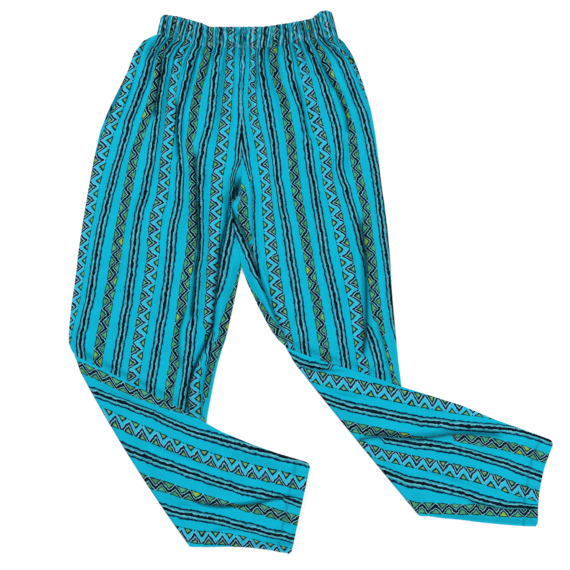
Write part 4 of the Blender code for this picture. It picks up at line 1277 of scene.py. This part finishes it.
def brushed_band(tree, off, along, settings):
    """Three brushed lines with a pale streak on either side of the middle one: colour and where
    it covers the cloth. A line is where the distance from its wavering middle is less than half
    its width, which varies with a fine noise."""
    place = add(tree, "CombineXYZ", off, along, 0.0)
    slow = scaled_noise(tree, place, (0.012, 0.03, 1.0), 1.0)
    quick = scaled_noise(tree, place, (0.2, 0.15, 1.0), 2.5)
    streak = scaled_noise(tree, place, (0.6, 0.05, 1.0), 2.0)
    middle = add(tree, "Math", slow, BRUSHED_WANDER, -0.5 * BRUSHED_WANDER,
                 operation="MULTIPLY_ADD")
    middle = add(tree, "Math", middle, off, operation="ADD")
    middle = add(tree, "Math", middle, 0.5, operation="SUBTRACT")
    middle = add(tree, "Math", quick, 1.0, middle, operation="MULTIPLY_ADD")
    away = add(tree, "Math", middle, operation="ABSOLUTE")
    band = (
        add(tree, "Mix", streak, linear(settings.brushed_ground),
            linear(settings.brushed_mint), data_type="RGBA"),
        add(tree, "Math", away, BRUSHED_REACH, operation="LESS_THAN"),
    )
    # Columns: centre, the noise that varies half the width, by how much, least, colour.
    for centre, noise, widening, least, code in (
        (3.4, streak, 2.6, -0.8, settings.brushed_light),
        (7.6, quick, 3.0, 0.05, settings.line_navy),
        (0.0, quick, 4.8, 0.0, settings.line_black),
    ):
        width = add(tree, "Math", noise, widening, least, operation="MULTIPLY_ADD")
        band = lay_line(tree, away, centre, width, code, band)
    return band


def scaled_noise(tree, place, scale, detail):
    """A noise whose grain is stretched: the place is scaled along each axis first."""
    place = add(tree, "VectorMath", place, scale, operation="MULTIPLY")
    return add(tree, "TexNoise", place, 1.0, detail)


def zigzag_wave(tree, along, length):
    """A triangle wave of the length along, from -1 to 1, once in each length."""
    turn = add(tree, "Math", along, 2.0 / length, operation="MULTIPLY")
    turn = add(tree, "Math", turn, 1.0, operation="PINGPONG")
    return add(tree, "Math", turn, 2.0, -1.0, operation="MULTIPLY_ADD")


def bold_zigzag_band(tree, off, along, chance, settings):
    """A thick zigzag with a pale line on either side, and a triangle in each of its hollows:
    colour and where it covers the cloth. The zigzag is a triangle wave, and all the rest is
    read off the distance from it and from the edge of the band."""
    wave = zigzag_wave(tree, along, settings.zigzag_length / MM)
    reach = add(tree, "Math", wave, BOLD_RISE, operation="MULTIPLY")
    away = add(tree, "Math", off, reach, operation="SUBTRACT")
    away = add(tree, "Math", away, BOLD_SLANT, operation="MULTIPLY")
    away = add(tree, "Math", away, operation="ABSOLUTE")
    edge = add(tree, "Math", off, operation="ABSOLUTE")
    lively = add(tree, "Math", chance, 0.9, operation="GREATER_THAN")
    fill = add(tree, "Mix", chance, linear(settings.triangle_mint),
               linear(settings.triangle_olive), data_type="RGBA")
    fill = add(tree, "Mix", lively, fill, linear(settings.triangle_lime), data_type="RGBA")
    inner = add(tree, "Math", away, BOLD_FILL[0], operation="GREATER_THAN")
    before_end = add(tree, "Math", edge, BOLD_FILL[1], operation="LESS_THAN")
    inner = add(tree, "Math", inner, before_end, operation="MULTIPLY")
    colour = add(tree, "Mix", inner, linear(settings.triangle_edge), fill, data_type="RGBA")
    solid = add(tree, "Math", away, BOLD_HOLLOW, operation="GREATER_THAN")
    cover = add(tree, "Math", edge, BOLD_REACH, operation="LESS_THAN")
    cover = add(tree, "Math", cover, solid, operation="MULTIPLY")
    band = lay_line(tree, away, *BOLD_PALE_LINE, settings.line_pale, (colour, cover))
    return lay_line(tree, away, *BOLD_LINE, settings.line_black, band)


def triangle(tree, within, base, band, settings):
    """Lay a triangle outlined in black on a band, from how far a point lies inside its two
    slanted sides and inside its base."""
    rim_width, edge_width, less = TRIANGLE_RIM
    colour, cover = band
    shows = add(tree, "Math", within, base, operation="MINIMUM")
    shows = add(tree, "Math", shows, 0.0, operation="GREATER_THAN")
    thin = add(tree, "Math", base, less, operation="ADD")
    depth = add(tree, "Math", within, thin, operation="MINIMUM")
    core = add(tree, "Math", depth, rim_width + edge_width, operation="GREATER_THAN")
    ink = add(tree, "Mix", core, linear(settings.triangle_olive),
              linear(settings.triangle_straw), data_type="RGBA")
    rim = add(tree, "Math", depth, rim_width, operation="LESS_THAN")
    ink = add(tree, "Mix", rim, ink, linear(settings.line_black), data_type="RGBA")
    colour = add(tree, "Mix", shows, colour, ink, data_type="RGBA")
    return colour, add(tree, "Math", cover, shows, operation="MAXIMUM")


def chevron_band(tree, off, along, big_side, settings):
    """Large triangles along one edge, each under a pale and a navy chevron, small ones between
    them along the other edge, and a dot under each chevron: colour and where it covers the
    cloth. Big_side is 1 where the large ones stand on the edge with the larger stripe number,
    and -1 on the other."""
    half = 0.5 * settings.zigzag_length / MM
    edge = CHEVRON_REACH
    slope = 2.0 * CHEVRON_RISE / half
    wave = zigzag_wave(tree, along, 2.0 * half)
    out = add(tree, "Math", off, big_side, operation="MULTIPLY")
    reach = add(tree, "Math", wave, CHEVRON_RISE, edge - 0.1 - CHEVRON_RISE,
                operation="MULTIPLY_ADD")
    away = add(tree, "Math", out, reach, operation="SUBTRACT")
    away = add(tree, "Math", away, 1.0 / math.hypot(1.0, slope), operation="MULTIPLY")
    cover = add(tree, "Math", off, operation="ABSOLUTE")
    cover = add(tree, "Math", cover, edge - 1.6, operation="LESS_THAN")
    band = (linear(settings.chevron_field), cover)
    short = add(tree, "Math", out, edge - 1.2, operation="LESS_THAN")
    for line in CHEVRON_PALE_LINES:
        band = lay_line(tree, away, *line, settings.line_pale, band, short)
    band = lay_line(tree, away, *CHEVRON_LINE, settings.line_navy, band, short)
    within = add(tree, "Math", away, CHEVRON_LARGE, operation="SUBTRACT")
    base = add(tree, "Math", edge, out, operation="SUBTRACT")
    band = triangle(tree, within, base, band, settings)

    # The small triangles, whose side drops by this much each millimetre along.
    high, wide = CHEVRON_SMALL
    drop = high / (0.5 * wide)
    base = add(tree, "Math", out, edge, operation="ADD")
    within = add(tree, "Math", wave, 0.5 * half * drop, high - 0.5 * half * drop,
                 operation="MULTIPLY_ADD")
    within = add(tree, "Math", within, base, operation="SUBTRACT")
    within = add(tree, "Math", within, 1.0 / math.hypot(1.0, drop), operation="MULTIPLY")
    colour, cover = triangle(tree, within, base, band, settings)
    beside = add(tree, "Math", wave, 0.5 * half, 0.5 * half, operation="MULTIPLY_ADD")
    below = add(tree, "Math", base, DOT[0], operation="SUBTRACT")
    beside = add(tree, "CombineXYZ", beside, below, 0.0)
    dot = add(tree, "VectorMath", beside, operation="LENGTH").node.outputs["Value"]
    dot = add(tree, "Math", dot, DOT[1], operation="LESS_THAN")
    colour = add(tree, "Mix", dot, colour, linear(settings.line_navy), data_type="RGBA")
    return colour, add(tree, "Math", cover, dot, operation="MAXIMUM")


def start_material(name, roughness, gloss):
    """A new material, its node tree and its shader, which has its constants set on it. Gloss is
    the level of its specular light, 0.5 for most things."""
    material = bpy.data.materials.new(name)
    material.use_nodes = True
    shader = material.node_tree.nodes["Principled BSDF"]
    shader.inputs["Roughness"].default_value = roughness
    shader.inputs["Specular IOR Level"].default_value = gloss
    return material, material.node_tree, shader


def printed_cotton(name, settings, big_side=1.0, shade=1.0):
    """Plain-woven cotton, dyed turquoise and screen printed: matt, with a dyed ground that is a
    little uneven, lines with slightly wandering edges, and threads that show only as fine
    bump."""
    material, tree, shader = start_material(name, 0.82, 0.06)
    pitch = settings.stripe_pitch / MM
    number, along, _ = add(tree, "SeparateXYZ", add(tree, "UVMap", uv_map="cloth")).node.outputs
    along = add(tree, "Math", along, 1.0 / MM, operation="MULTIPLY")
    across = add(tree, "Math", number, pitch, operation="MULTIPLY")
    place = add(tree, "CombineXYZ", across, along, 0.0)

    # A hand-drawn wander of the whole print, up to half of this to either side.
    wander = add(tree, "TexNoise", place, 0.11, 2.0, 0.6).node.outputs["Color"]
    shift = add(tree, "VectorMath", wander, (0.5, 0.5, 0.5), operation="SUBTRACT")
    shift = add(tree, "VectorMath", shift, WANDER, operation="MULTIPLY")
    place = add(tree, "VectorMath", place, shift, operation="ADD")
    across, along, _ = add(tree, "SeparateXYZ", place).node.outputs

    stripe = add(tree, "Math", across, pitch, operation="DIVIDE")
    band = add(tree, "Math", stripe, operation="ROUND")
    off = add(tree, "Math", stripe, band, operation="SUBTRACT")
    off = add(tree, "Math", off, pitch, operation="MULTIPLY")
    kind = add(tree, "Math", band, 20.0, operation="ADD")
    kind = add(tree, "Math", kind, 4.0, operation="MODULO")
    seed = add(tree, "Math", band, 7.3, operation="MULTIPLY")
    along = add(tree, "Math", along, seed, operation="ADD")

    cell = add(tree, "Math", along, 2.0 * MM / settings.zigzag_length, operation="MULTIPLY")
    cell = add(tree, "Math", cell, 0.5, operation="ADD")
    cell = add(tree, "Math", cell, operation="FLOOR")
    chance = add(tree, "TexWhiteNoise", add(tree, "CombineXYZ", cell, band, 0.0))

    brushed, brushed_cover = brushed_band(tree, off, along, settings)
    bold, bold_cover = bold_zigzag_band(tree, off, along, chance, settings)
    chevron, chevron_cover = chevron_band(tree, off, along, big_side, settings)

    # The dyed ground, a little uneven along the warp.
    grain = scaled_noise(tree, place, (0.5, 0.03, 1.0), 3.0)
    patch = scaled_noise(tree, place, (0.02, 0.012, 1.0), 2.0)
    ground = add(tree, "Mix", grain, linear(settings.ground_deep), linear(settings.ground),
                 data_type="RGBA")
    patchy = add(tree, "Math", patch, 0.5, operation="MULTIPLY")
    ground = add(tree, "Mix", patchy, ground, linear(settings.ground_bright), data_type="RGBA")

    is_bold = add(tree, "Math", kind, 3.0, 0.5, operation="COMPARE")
    is_chevron = add(tree, "Math", kind, 1.0, 0.5, operation="COMPARE")
    is_zigzag = add(tree, "Math", is_bold, is_chevron, operation="MAXIMUM")
    zigzag = add(tree, "Mix", is_bold, chevron, bold, data_type="RGBA")
    zigzag_cover = add(tree, "Mix", is_bold, chevron_cover, bold_cover, data_type="FLOAT")
    ink = add(tree, "Mix", is_zigzag, brushed, zigzag, data_type="RGBA")
    cover = add(tree, "Mix", is_zigzag, brushed_cover, zigzag_cover, data_type="FLOAT")
    colour = add(tree, "Mix", cover, ground, ink, data_type="RGBA")

    # Painted shade: deep in a crease or between two gathers, where hardly any light reaches the
    # cloth, the colour is darkened, and on the crests of the casing's ribs, where the depth is
    # below nothing, a painted highlight makes it pale.
    depth = add(tree, "Attribute", attribute_name="groove").node.outputs["Fac"]
    rubbed = add(tree, "Math", depth, -1.0, operation="MULTIPLY", use_clamp=True)
    colour = add(tree, "Mix", rubbed, colour, linear(settings.rubbed), data_type="RGBA")
    groove = add(tree, "Math", depth, settings.groove_shade, operation="MULTIPLY",
                 use_clamp=True)
    colour = add(tree, "Mix", groove, colour, linear(settings.groove), data_type="RGBA")
    # Painted shade: the whole colour is darkened by the share of light that reaches the cloth.
    if shade < 1.0:
        colour = add(tree, "Mix", 1.0, colour, (shade, shade, shade, 1.0), data_type="RGBA",
                     blend_type="MULTIPLY")
    tree.links.new(colour, shader.inputs["Base Color"])

    # Threads are 0.35 mm apart, too fine to show, so the bump's are drawn 0.9 mm apart.
    warp, weft = (add(tree, "TexWave", place, DRAWN_THREAD, 0.8, 1.0, bands_direction=way)
                  for way in "XY")
    threads = add(tree, "Math", warp, weft, operation="MULTIPLY")
    crumple = add(tree, "TexNoise", place, 0.09, 3.0, 0.55)
    relief = add(tree, "Math", threads, 0.12, crumple, operation="MULTIPLY_ADD")
    bump = add(tree, "Bump", 0.35, BUMP_HEIGHT, 0.1, relief)
    tree.links.new(bump, shader.inputs["Normal"])
    return material


def toned(tree, shader, scale, detail, darkest, code):
    """Give a shader a colour that a noise darkens here and there, to a share of it, and the
    place on the object back."""
    place = add(tree, "TexCoord").node.outputs["Object"]
    tone = add(tree, "TexNoise", place, scale, detail)
    dark = [darkest * value for value in linear(code)[:3]] + [1.0]
    colour = add(tree, "Mix", tone, dark, linear(code), data_type="RGBA")
    tree.links.new(colour, shader.inputs["Base Color"])
    return place


def spun_thread(name, code):
    """Spun polyester sewing thread, two plies twisted: a soft gloss and a slanted ply bump."""
    material, tree, shader = start_material(name, 0.55, 0.5)
    place = toned(tree, shader, 900.0, 1.0, 0.6, code)
    plies = add(tree, "TexWave", place, 1400.0, 0.5, bands_direction="DIAGONAL")
    tree.links.new(add(tree, "Bump", 0.4, 0.1 * MM, 0.1, plies), shader.inputs["Normal"])
    return material


def lit_floor(name, code, glow):
    """Opal acrylic of a light table, cast and matted: it scatters some of the light from above
    and glows evenly from below, so shadows on it stay faint."""
    material, tree, shader = start_material(name, 0.95, 0.1)
    toned(tree, shader, 3.0, 2.0, 0.985, code)
    shader.inputs["Emission Color"].default_value = linear("#FFFFFF")
    shader.inputs["Emission Strength"].default_value = glow
    return material


# --- Settings ---


class TrousersCloth(bpy.types.PropertyGroup):
    """Sizes of the cloth and its gathers."""

    wall: bpy.props.FloatProperty(
        name="Cloth", description="Thickness of the cloth that is shown", default=0.8 * MM,
        unit="LENGTH",
    )
    loft: bpy.props.FloatProperty(
        name="Loft", description="Air under the front of each leg", default=9.0 * MM,
        unit="LENGTH",
    )
    crease_depth: bpy.props.FloatProperty(
        name="Creases", description="Depth of the creases against their table", default=1.7,
        subtype="FACTOR",
    )
    gather_height: bpy.props.FloatProperty(
        name="Gathers", description="Height of the gathers under the casing",
        default=5.0 * MM, unit="LENGTH",
    )
    rib_height: bpy.props.FloatProperty(
        name="Ribs", description="Height of the ribs of the waist casing", default=5.0 * MM,
        unit="LENGTH",
    )


class TrousersPrint(bpy.types.PropertyGroup):
    """Sizes and colours of the print, the colours as sRGB hex codes."""

    stripe_pitch: bpy.props.FloatProperty(
        name="Stripe pitch", description="From the middle of one stripe to the next",
        default=STRIPE_PITCH, unit="LENGTH",
    )
    zigzag_length: bpy.props.FloatProperty(
        name="Zigzag", description="Length of one turn of a zigzag along its stripe",
        default=24.9 * MM, unit="LENGTH",
    )
    groove_shade: bpy.props.FloatProperty(
        name="Groove shade", description="How dark the deepest creases are", default=0.8,
        subtype="FACTOR", min=0.0, max=1.0,
    )
    for colour_name, colour_is_of, colour_code in (
        ("ground", "Dyed ground of the cloth", "#04A3BE"),
        ("ground_bright", "Ground where the dye took best", "#05AFCD"),
        ("ground_deep", "Ground in the deeper threads", "#0492AC"),
        ("brushed_ground", "Ground between the brushed lines", "#158CA2"),
        ("brushed_light", "Pale streaks beside the middle brushed line", "#66AFBE"),
        ("brushed_mint", "Greener streaks between the brushed lines", "#2A8E98"),
        ("line_black", "Thick lines and outlines", "#03101C"),
        ("line_navy", "Thin lines", "#04203A"),
        ("line_pale", "Lines beside the zigzags", "#78B6C8"),
        ("triangle_mint", "Triangles of the bold zigzag", "#4C9C74"),
        ("triangle_lime", "The odd brighter triangle", "#7AA446"),
        ("triangle_edge", "Edges of those triangles", "#07302A"),
        ("triangle_olive", "Inner edge of the outlined triangles", "#3F7250"),
        ("triangle_straw", "Middle of the outlined triangles", "#6E9E68"),
        ("chevron_field", "Ground between the chevrons", "#22A8C2"),
        # The next two colours are painted light: shade deep in creases, between gathers and along
        # stitches, and a highlight on the crests of the casing's ribs.
        ("groove", "Cloth deep in a crease", "#01161C"),
        ("rubbed", "Crests of the ribs, where the dye has worn off", "#9CC9D2"),
        ("thread", "Sewing thread", "#0A6C80"),
    ):
        __annotations__[colour_name] = bpy.props.StringProperty(
            name=colour_name.replace("_", " ").capitalize(),
            description=colour_is_of + ", an sRGB hex code", default=colour_code,
        )
    del colour_name, colour_is_of, colour_code


class TrousersStage(bpy.types.PropertyGroup):
    """Floor, light and camera."""

    floor: bpy.props.StringProperty(
        name="Floor", description="Colour of the floor, an sRGB hex code", default="#A8A8A8"
    )
    glow: bpy.props.FloatProperty(
        name="Glow", description="Light that the floor gives off itself", default=0.66, min=0.0
    )
    key_power: bpy.props.FloatProperty(
        name="Key light", description="Power of the large soft light", default=218.0, min=0.0
    )
    fill_power: bpy.props.FloatProperty(
        name="Fill light", description="Power of the weaker light opposite", default=80.0,
        min=0.0,
    )
    sky: bpy.props.FloatProperty(
        name="Sky", description="Strength of the light from all round", default=0.38, min=0.0
    )
    lens: bpy.props.FloatProperty(
        name="Lens", description="Focal length", default=85.0, unit="CAMERA"
    )
    height: bpy.props.FloatProperty(
        name="Camera height", description="Above the cloth", default=2.356, unit="LENGTH"
    )


# --- Operators ---


def make_leg_panels(context, layer):
    """Make the front or the back panel of each leg, with its wall half on either side of the
    middle of its cloth, and fit it."""
    settings = context.scene.trousers_cloth
    rows, columns = PANEL_CELLS[layer]
    turns = (0.0, FOLD_PLACE, LOWER_START, HEM_PLACE)
    places = np.unique(np.concatenate(
        [np.linspace(*ends, count) for *ends, count in zip(turns[:-1], turns[1:], rows)]
    ))
    for side in ("left", "right"):
        material = printed_cotton(
            f"printed_cotton_{layer}_{side}", context.scene.trousers_print,
            BIG_SIDE[layer, side],
        )
        middle, cloth = panel_grid(side, layer, places, columns, settings)
        wall = 0.5 * settings.wall * smooth_rows(grid_normals(middle))
        piece = closed_cloth(f"leg_{layer}_{side}", middle + wall, middle - wall, cloth, material)
        fit(piece, f"{layer}_{side}")
    return {"FINISHED"}


class TROUSERS_OT_waist_casing(bpy.types.Operator):
    """Make the two halves of the ribbed waist casing"""

    bl_idname = "trousers.waist_casing"
    bl_label = "Waist casing"

    def execute(self, context):
        settings = context.scene.trousers_cloth
        material = printed_cotton("gathered_printed_cotton", context.scene.trousers_print)
        for half, (rows, cells, width) in CASING_CELLS.items():
            upper, lower, cloth = casing_grid(half, rows, cells * GATHERS, settings)
            piece = closed_cloth(f"waist_casing_{half}", upper, lower, cloth, material)
            fit(piece, f"waistband_{half}")
        return {"FINISHED"}


class TROUSERS_OT_front_panels(bpy.types.Operator):
    """Make the front panel of each leg, folded over at the knee"""

    bl_idname = "trousers.front_panels"
    bl_label = "Front panels"

    def execute(self, context):
        return make_leg_panels(context, "front")


class TROUSERS_OT_back_panels(bpy.types.Operator):
    """Make the back panel of each leg, which shows on the folded lower leg"""

    bl_idname = "trousers.back_panels"
    bl_label = "Back panels"

    def execute(self, context):
        return make_leg_panels(context, "back")


class TROUSERS_OT_pocket_facings(bpy.types.Operator):
    """Make the facing behind each side pocket's opening"""

    bl_idname = "trousers.pocket_facings"
    bl_label = "Pocket facings"

    def execute(self, context):
        lift = np.array((0.0, 0.0, 0.5 * context.scene.trousers_cloth.wall))
        material = printed_cotton(
            "pocket_facing_cotton", context.scene.trousers_print, shade=FACING_SHADE
        )
        for side, (width, length, area) in FACING_FLAT.items():
            middle, cloth = facing_grid(side, *FACING_CELLS)
            piece = closed_cloth(f"facing_{side}", middle + lift, middle - lift, cloth, material)
            fit(piece, f"pocket_facing_{side}")
        return {"FINISHED"}


class TROUSERS_OT_stitching(bpy.types.Operator):
    """Sew the hems with a row of stitches and the pockets' lower ends with bar tacks"""

    bl_idname = "trousers.stitching"
    bl_label = "Stitching"

    def execute(self, context):
        settings = context.scene.trousers_cloth
        material = spun_thread("spun_polyester_thread", context.scene.trousers_print.thread)
        for side in ("left", "right"):
            hem = thread_stitches(f"hem_stitches_{side}", *stitch_line(side, settings), material)
            fit(hem, f"back_{side}")
            tack = thread_stitches(f"bar_tack_{side}", *bar_tack(side, settings), material)
            fit(tack, f"front_{side}")
        return {"FINISHED"}


class TROUSERS_OT_stage(bpy.types.Operator):
    """Make the floor, the light and the camera straight above"""

    bl_idname = "trousers.stage"
    bl_label = "Stage"

    def execute(self, context):
        settings = context.scene.trousers_stage
        corners = np.array([(-1.0, -1.0), (1.0, -1.0), (1.0, 1.0), (-1.0, 1.0)])
        floor = mesh_object(
            "floor", np.column_stack((FLOOR_HALF * corners, np.full(4, -FLOOR_BELOW))),
            np.array([(0, 1, 2, 3)]), corners,
            lit_floor("matted_opal_acrylic", settings.floor, settings.glow),
        )

        # The key comes from the upper left of the photograph, the fill from the lower right.
        for name, power, size, location in LAMPS:
            light = bpy.data.lights.new(name, "AREA")
            light.shape = "DISK"
            light.size = size
            light.energy = getattr(settings, power)
            lamp = bpy.data.objects.new(name, light)
            lamp.location = location
            lamp.rotation_euler = lamp.location.to_track_quat("Z", "Y").to_euler()
            context.scene.collection.objects.link(lamp)

        world = bpy.data.worlds.new("soft_sky")
        world.use_nodes = True
        background = world.node_tree.nodes["Background"]
        background.inputs["Color"].default_value = linear("#FFFFFF")
        background.inputs["Strength"].default_value = settings.sky
        context.scene.world = world

        # Straight down on the photograph's centre.
        lens = bpy.data.cameras.new("camera")
        lens.lens = settings.lens
        lens.dof.use_dof = False
        camera = bpy.data.objects.new("camera", lens)
        centre_x = SEAM_MIDDLE[0] + (PHOTO_MIDDLE_PX - CENTRE_PX[0]) * PHOTO_SCALE
        centre_y = SEAM_MIDDLE[1] - (PHOTO_MIDDLE_PX - CENTRE_PX[1]) * PHOTO_SCALE
        camera.location = (centre_x, centre_y, settings.height)
        context.scene.collection.objects.link(camera)
        context.scene.camera = camera
        context.scene.view_settings.view_transform = "Standard"
        return {"FINISHED"}


class TROUSERS_PT_panel(bpy.types.Panel):
    """Buttons that make each piece, and the sizes and colours that they use"""

    bl_label = "Printed trousers"
    bl_idname = "TROUSERS_PT_panel"
    bl_space_type = "VIEW_3D"
    bl_region_type = "UI"
    bl_category = "Trousers"

    def draw(self, context):
        for operator in OPERATORS:
            self.layout.operator(operator.bl_idname)
        for group in ("trousers_cloth", "trousers_print", "trousers_stage"):
            settings = getattr(context.scene, group)
            box = self.layout.box()
            for name in settings.__annotations__:
                box.prop(settings, name)


OPERATORS = (
    TROUSERS_OT_back_panels,
    TROUSERS_OT_pocket_facings,
    TROUSERS_OT_front_panels,
    TROUSERS_OT_waist_casing,
    TROUSERS_OT_stitching,
    TROUSERS_OT_stage,
)
GROUPS = {
    "trousers_cloth": TrousersCloth,
    "trousers_print": TrousersPrint,
    "trousers_stage": TrousersStage,
}


def register():
    """Register the classes and hang the settings on the scene."""
    for cls in (*GROUPS.values(), *OPERATORS, TROUSERS_PT_panel):
        bpy.utils.register_class(cls)
    for name, group in GROUPS.items():
        setattr(bpy.types.Scene, name, bpy.props.PointerProperty(type=group))


def unregister():
    """Take the settings and the classes away again."""
    for name in GROUPS:
        delattr(bpy.types.Scene, name)
    for cls in reversed((*GROUPS.values(), *OPERATORS, TROUSERS_PT_panel)):
        bpy.utils.unregister_class(cls)


def main():
    """Make every piece in order."""
    register()
    bpy.ops.trousers.back_panels()
    bpy.ops.trousers.pocket_facings()
    bpy.ops.trousers.front_panels()
    bpy.ops.trousers.waist_casing()
    bpy.ops.trousers.stitching()
    bpy.ops.trousers.stage()


if __name__ == "__main__":
    main()
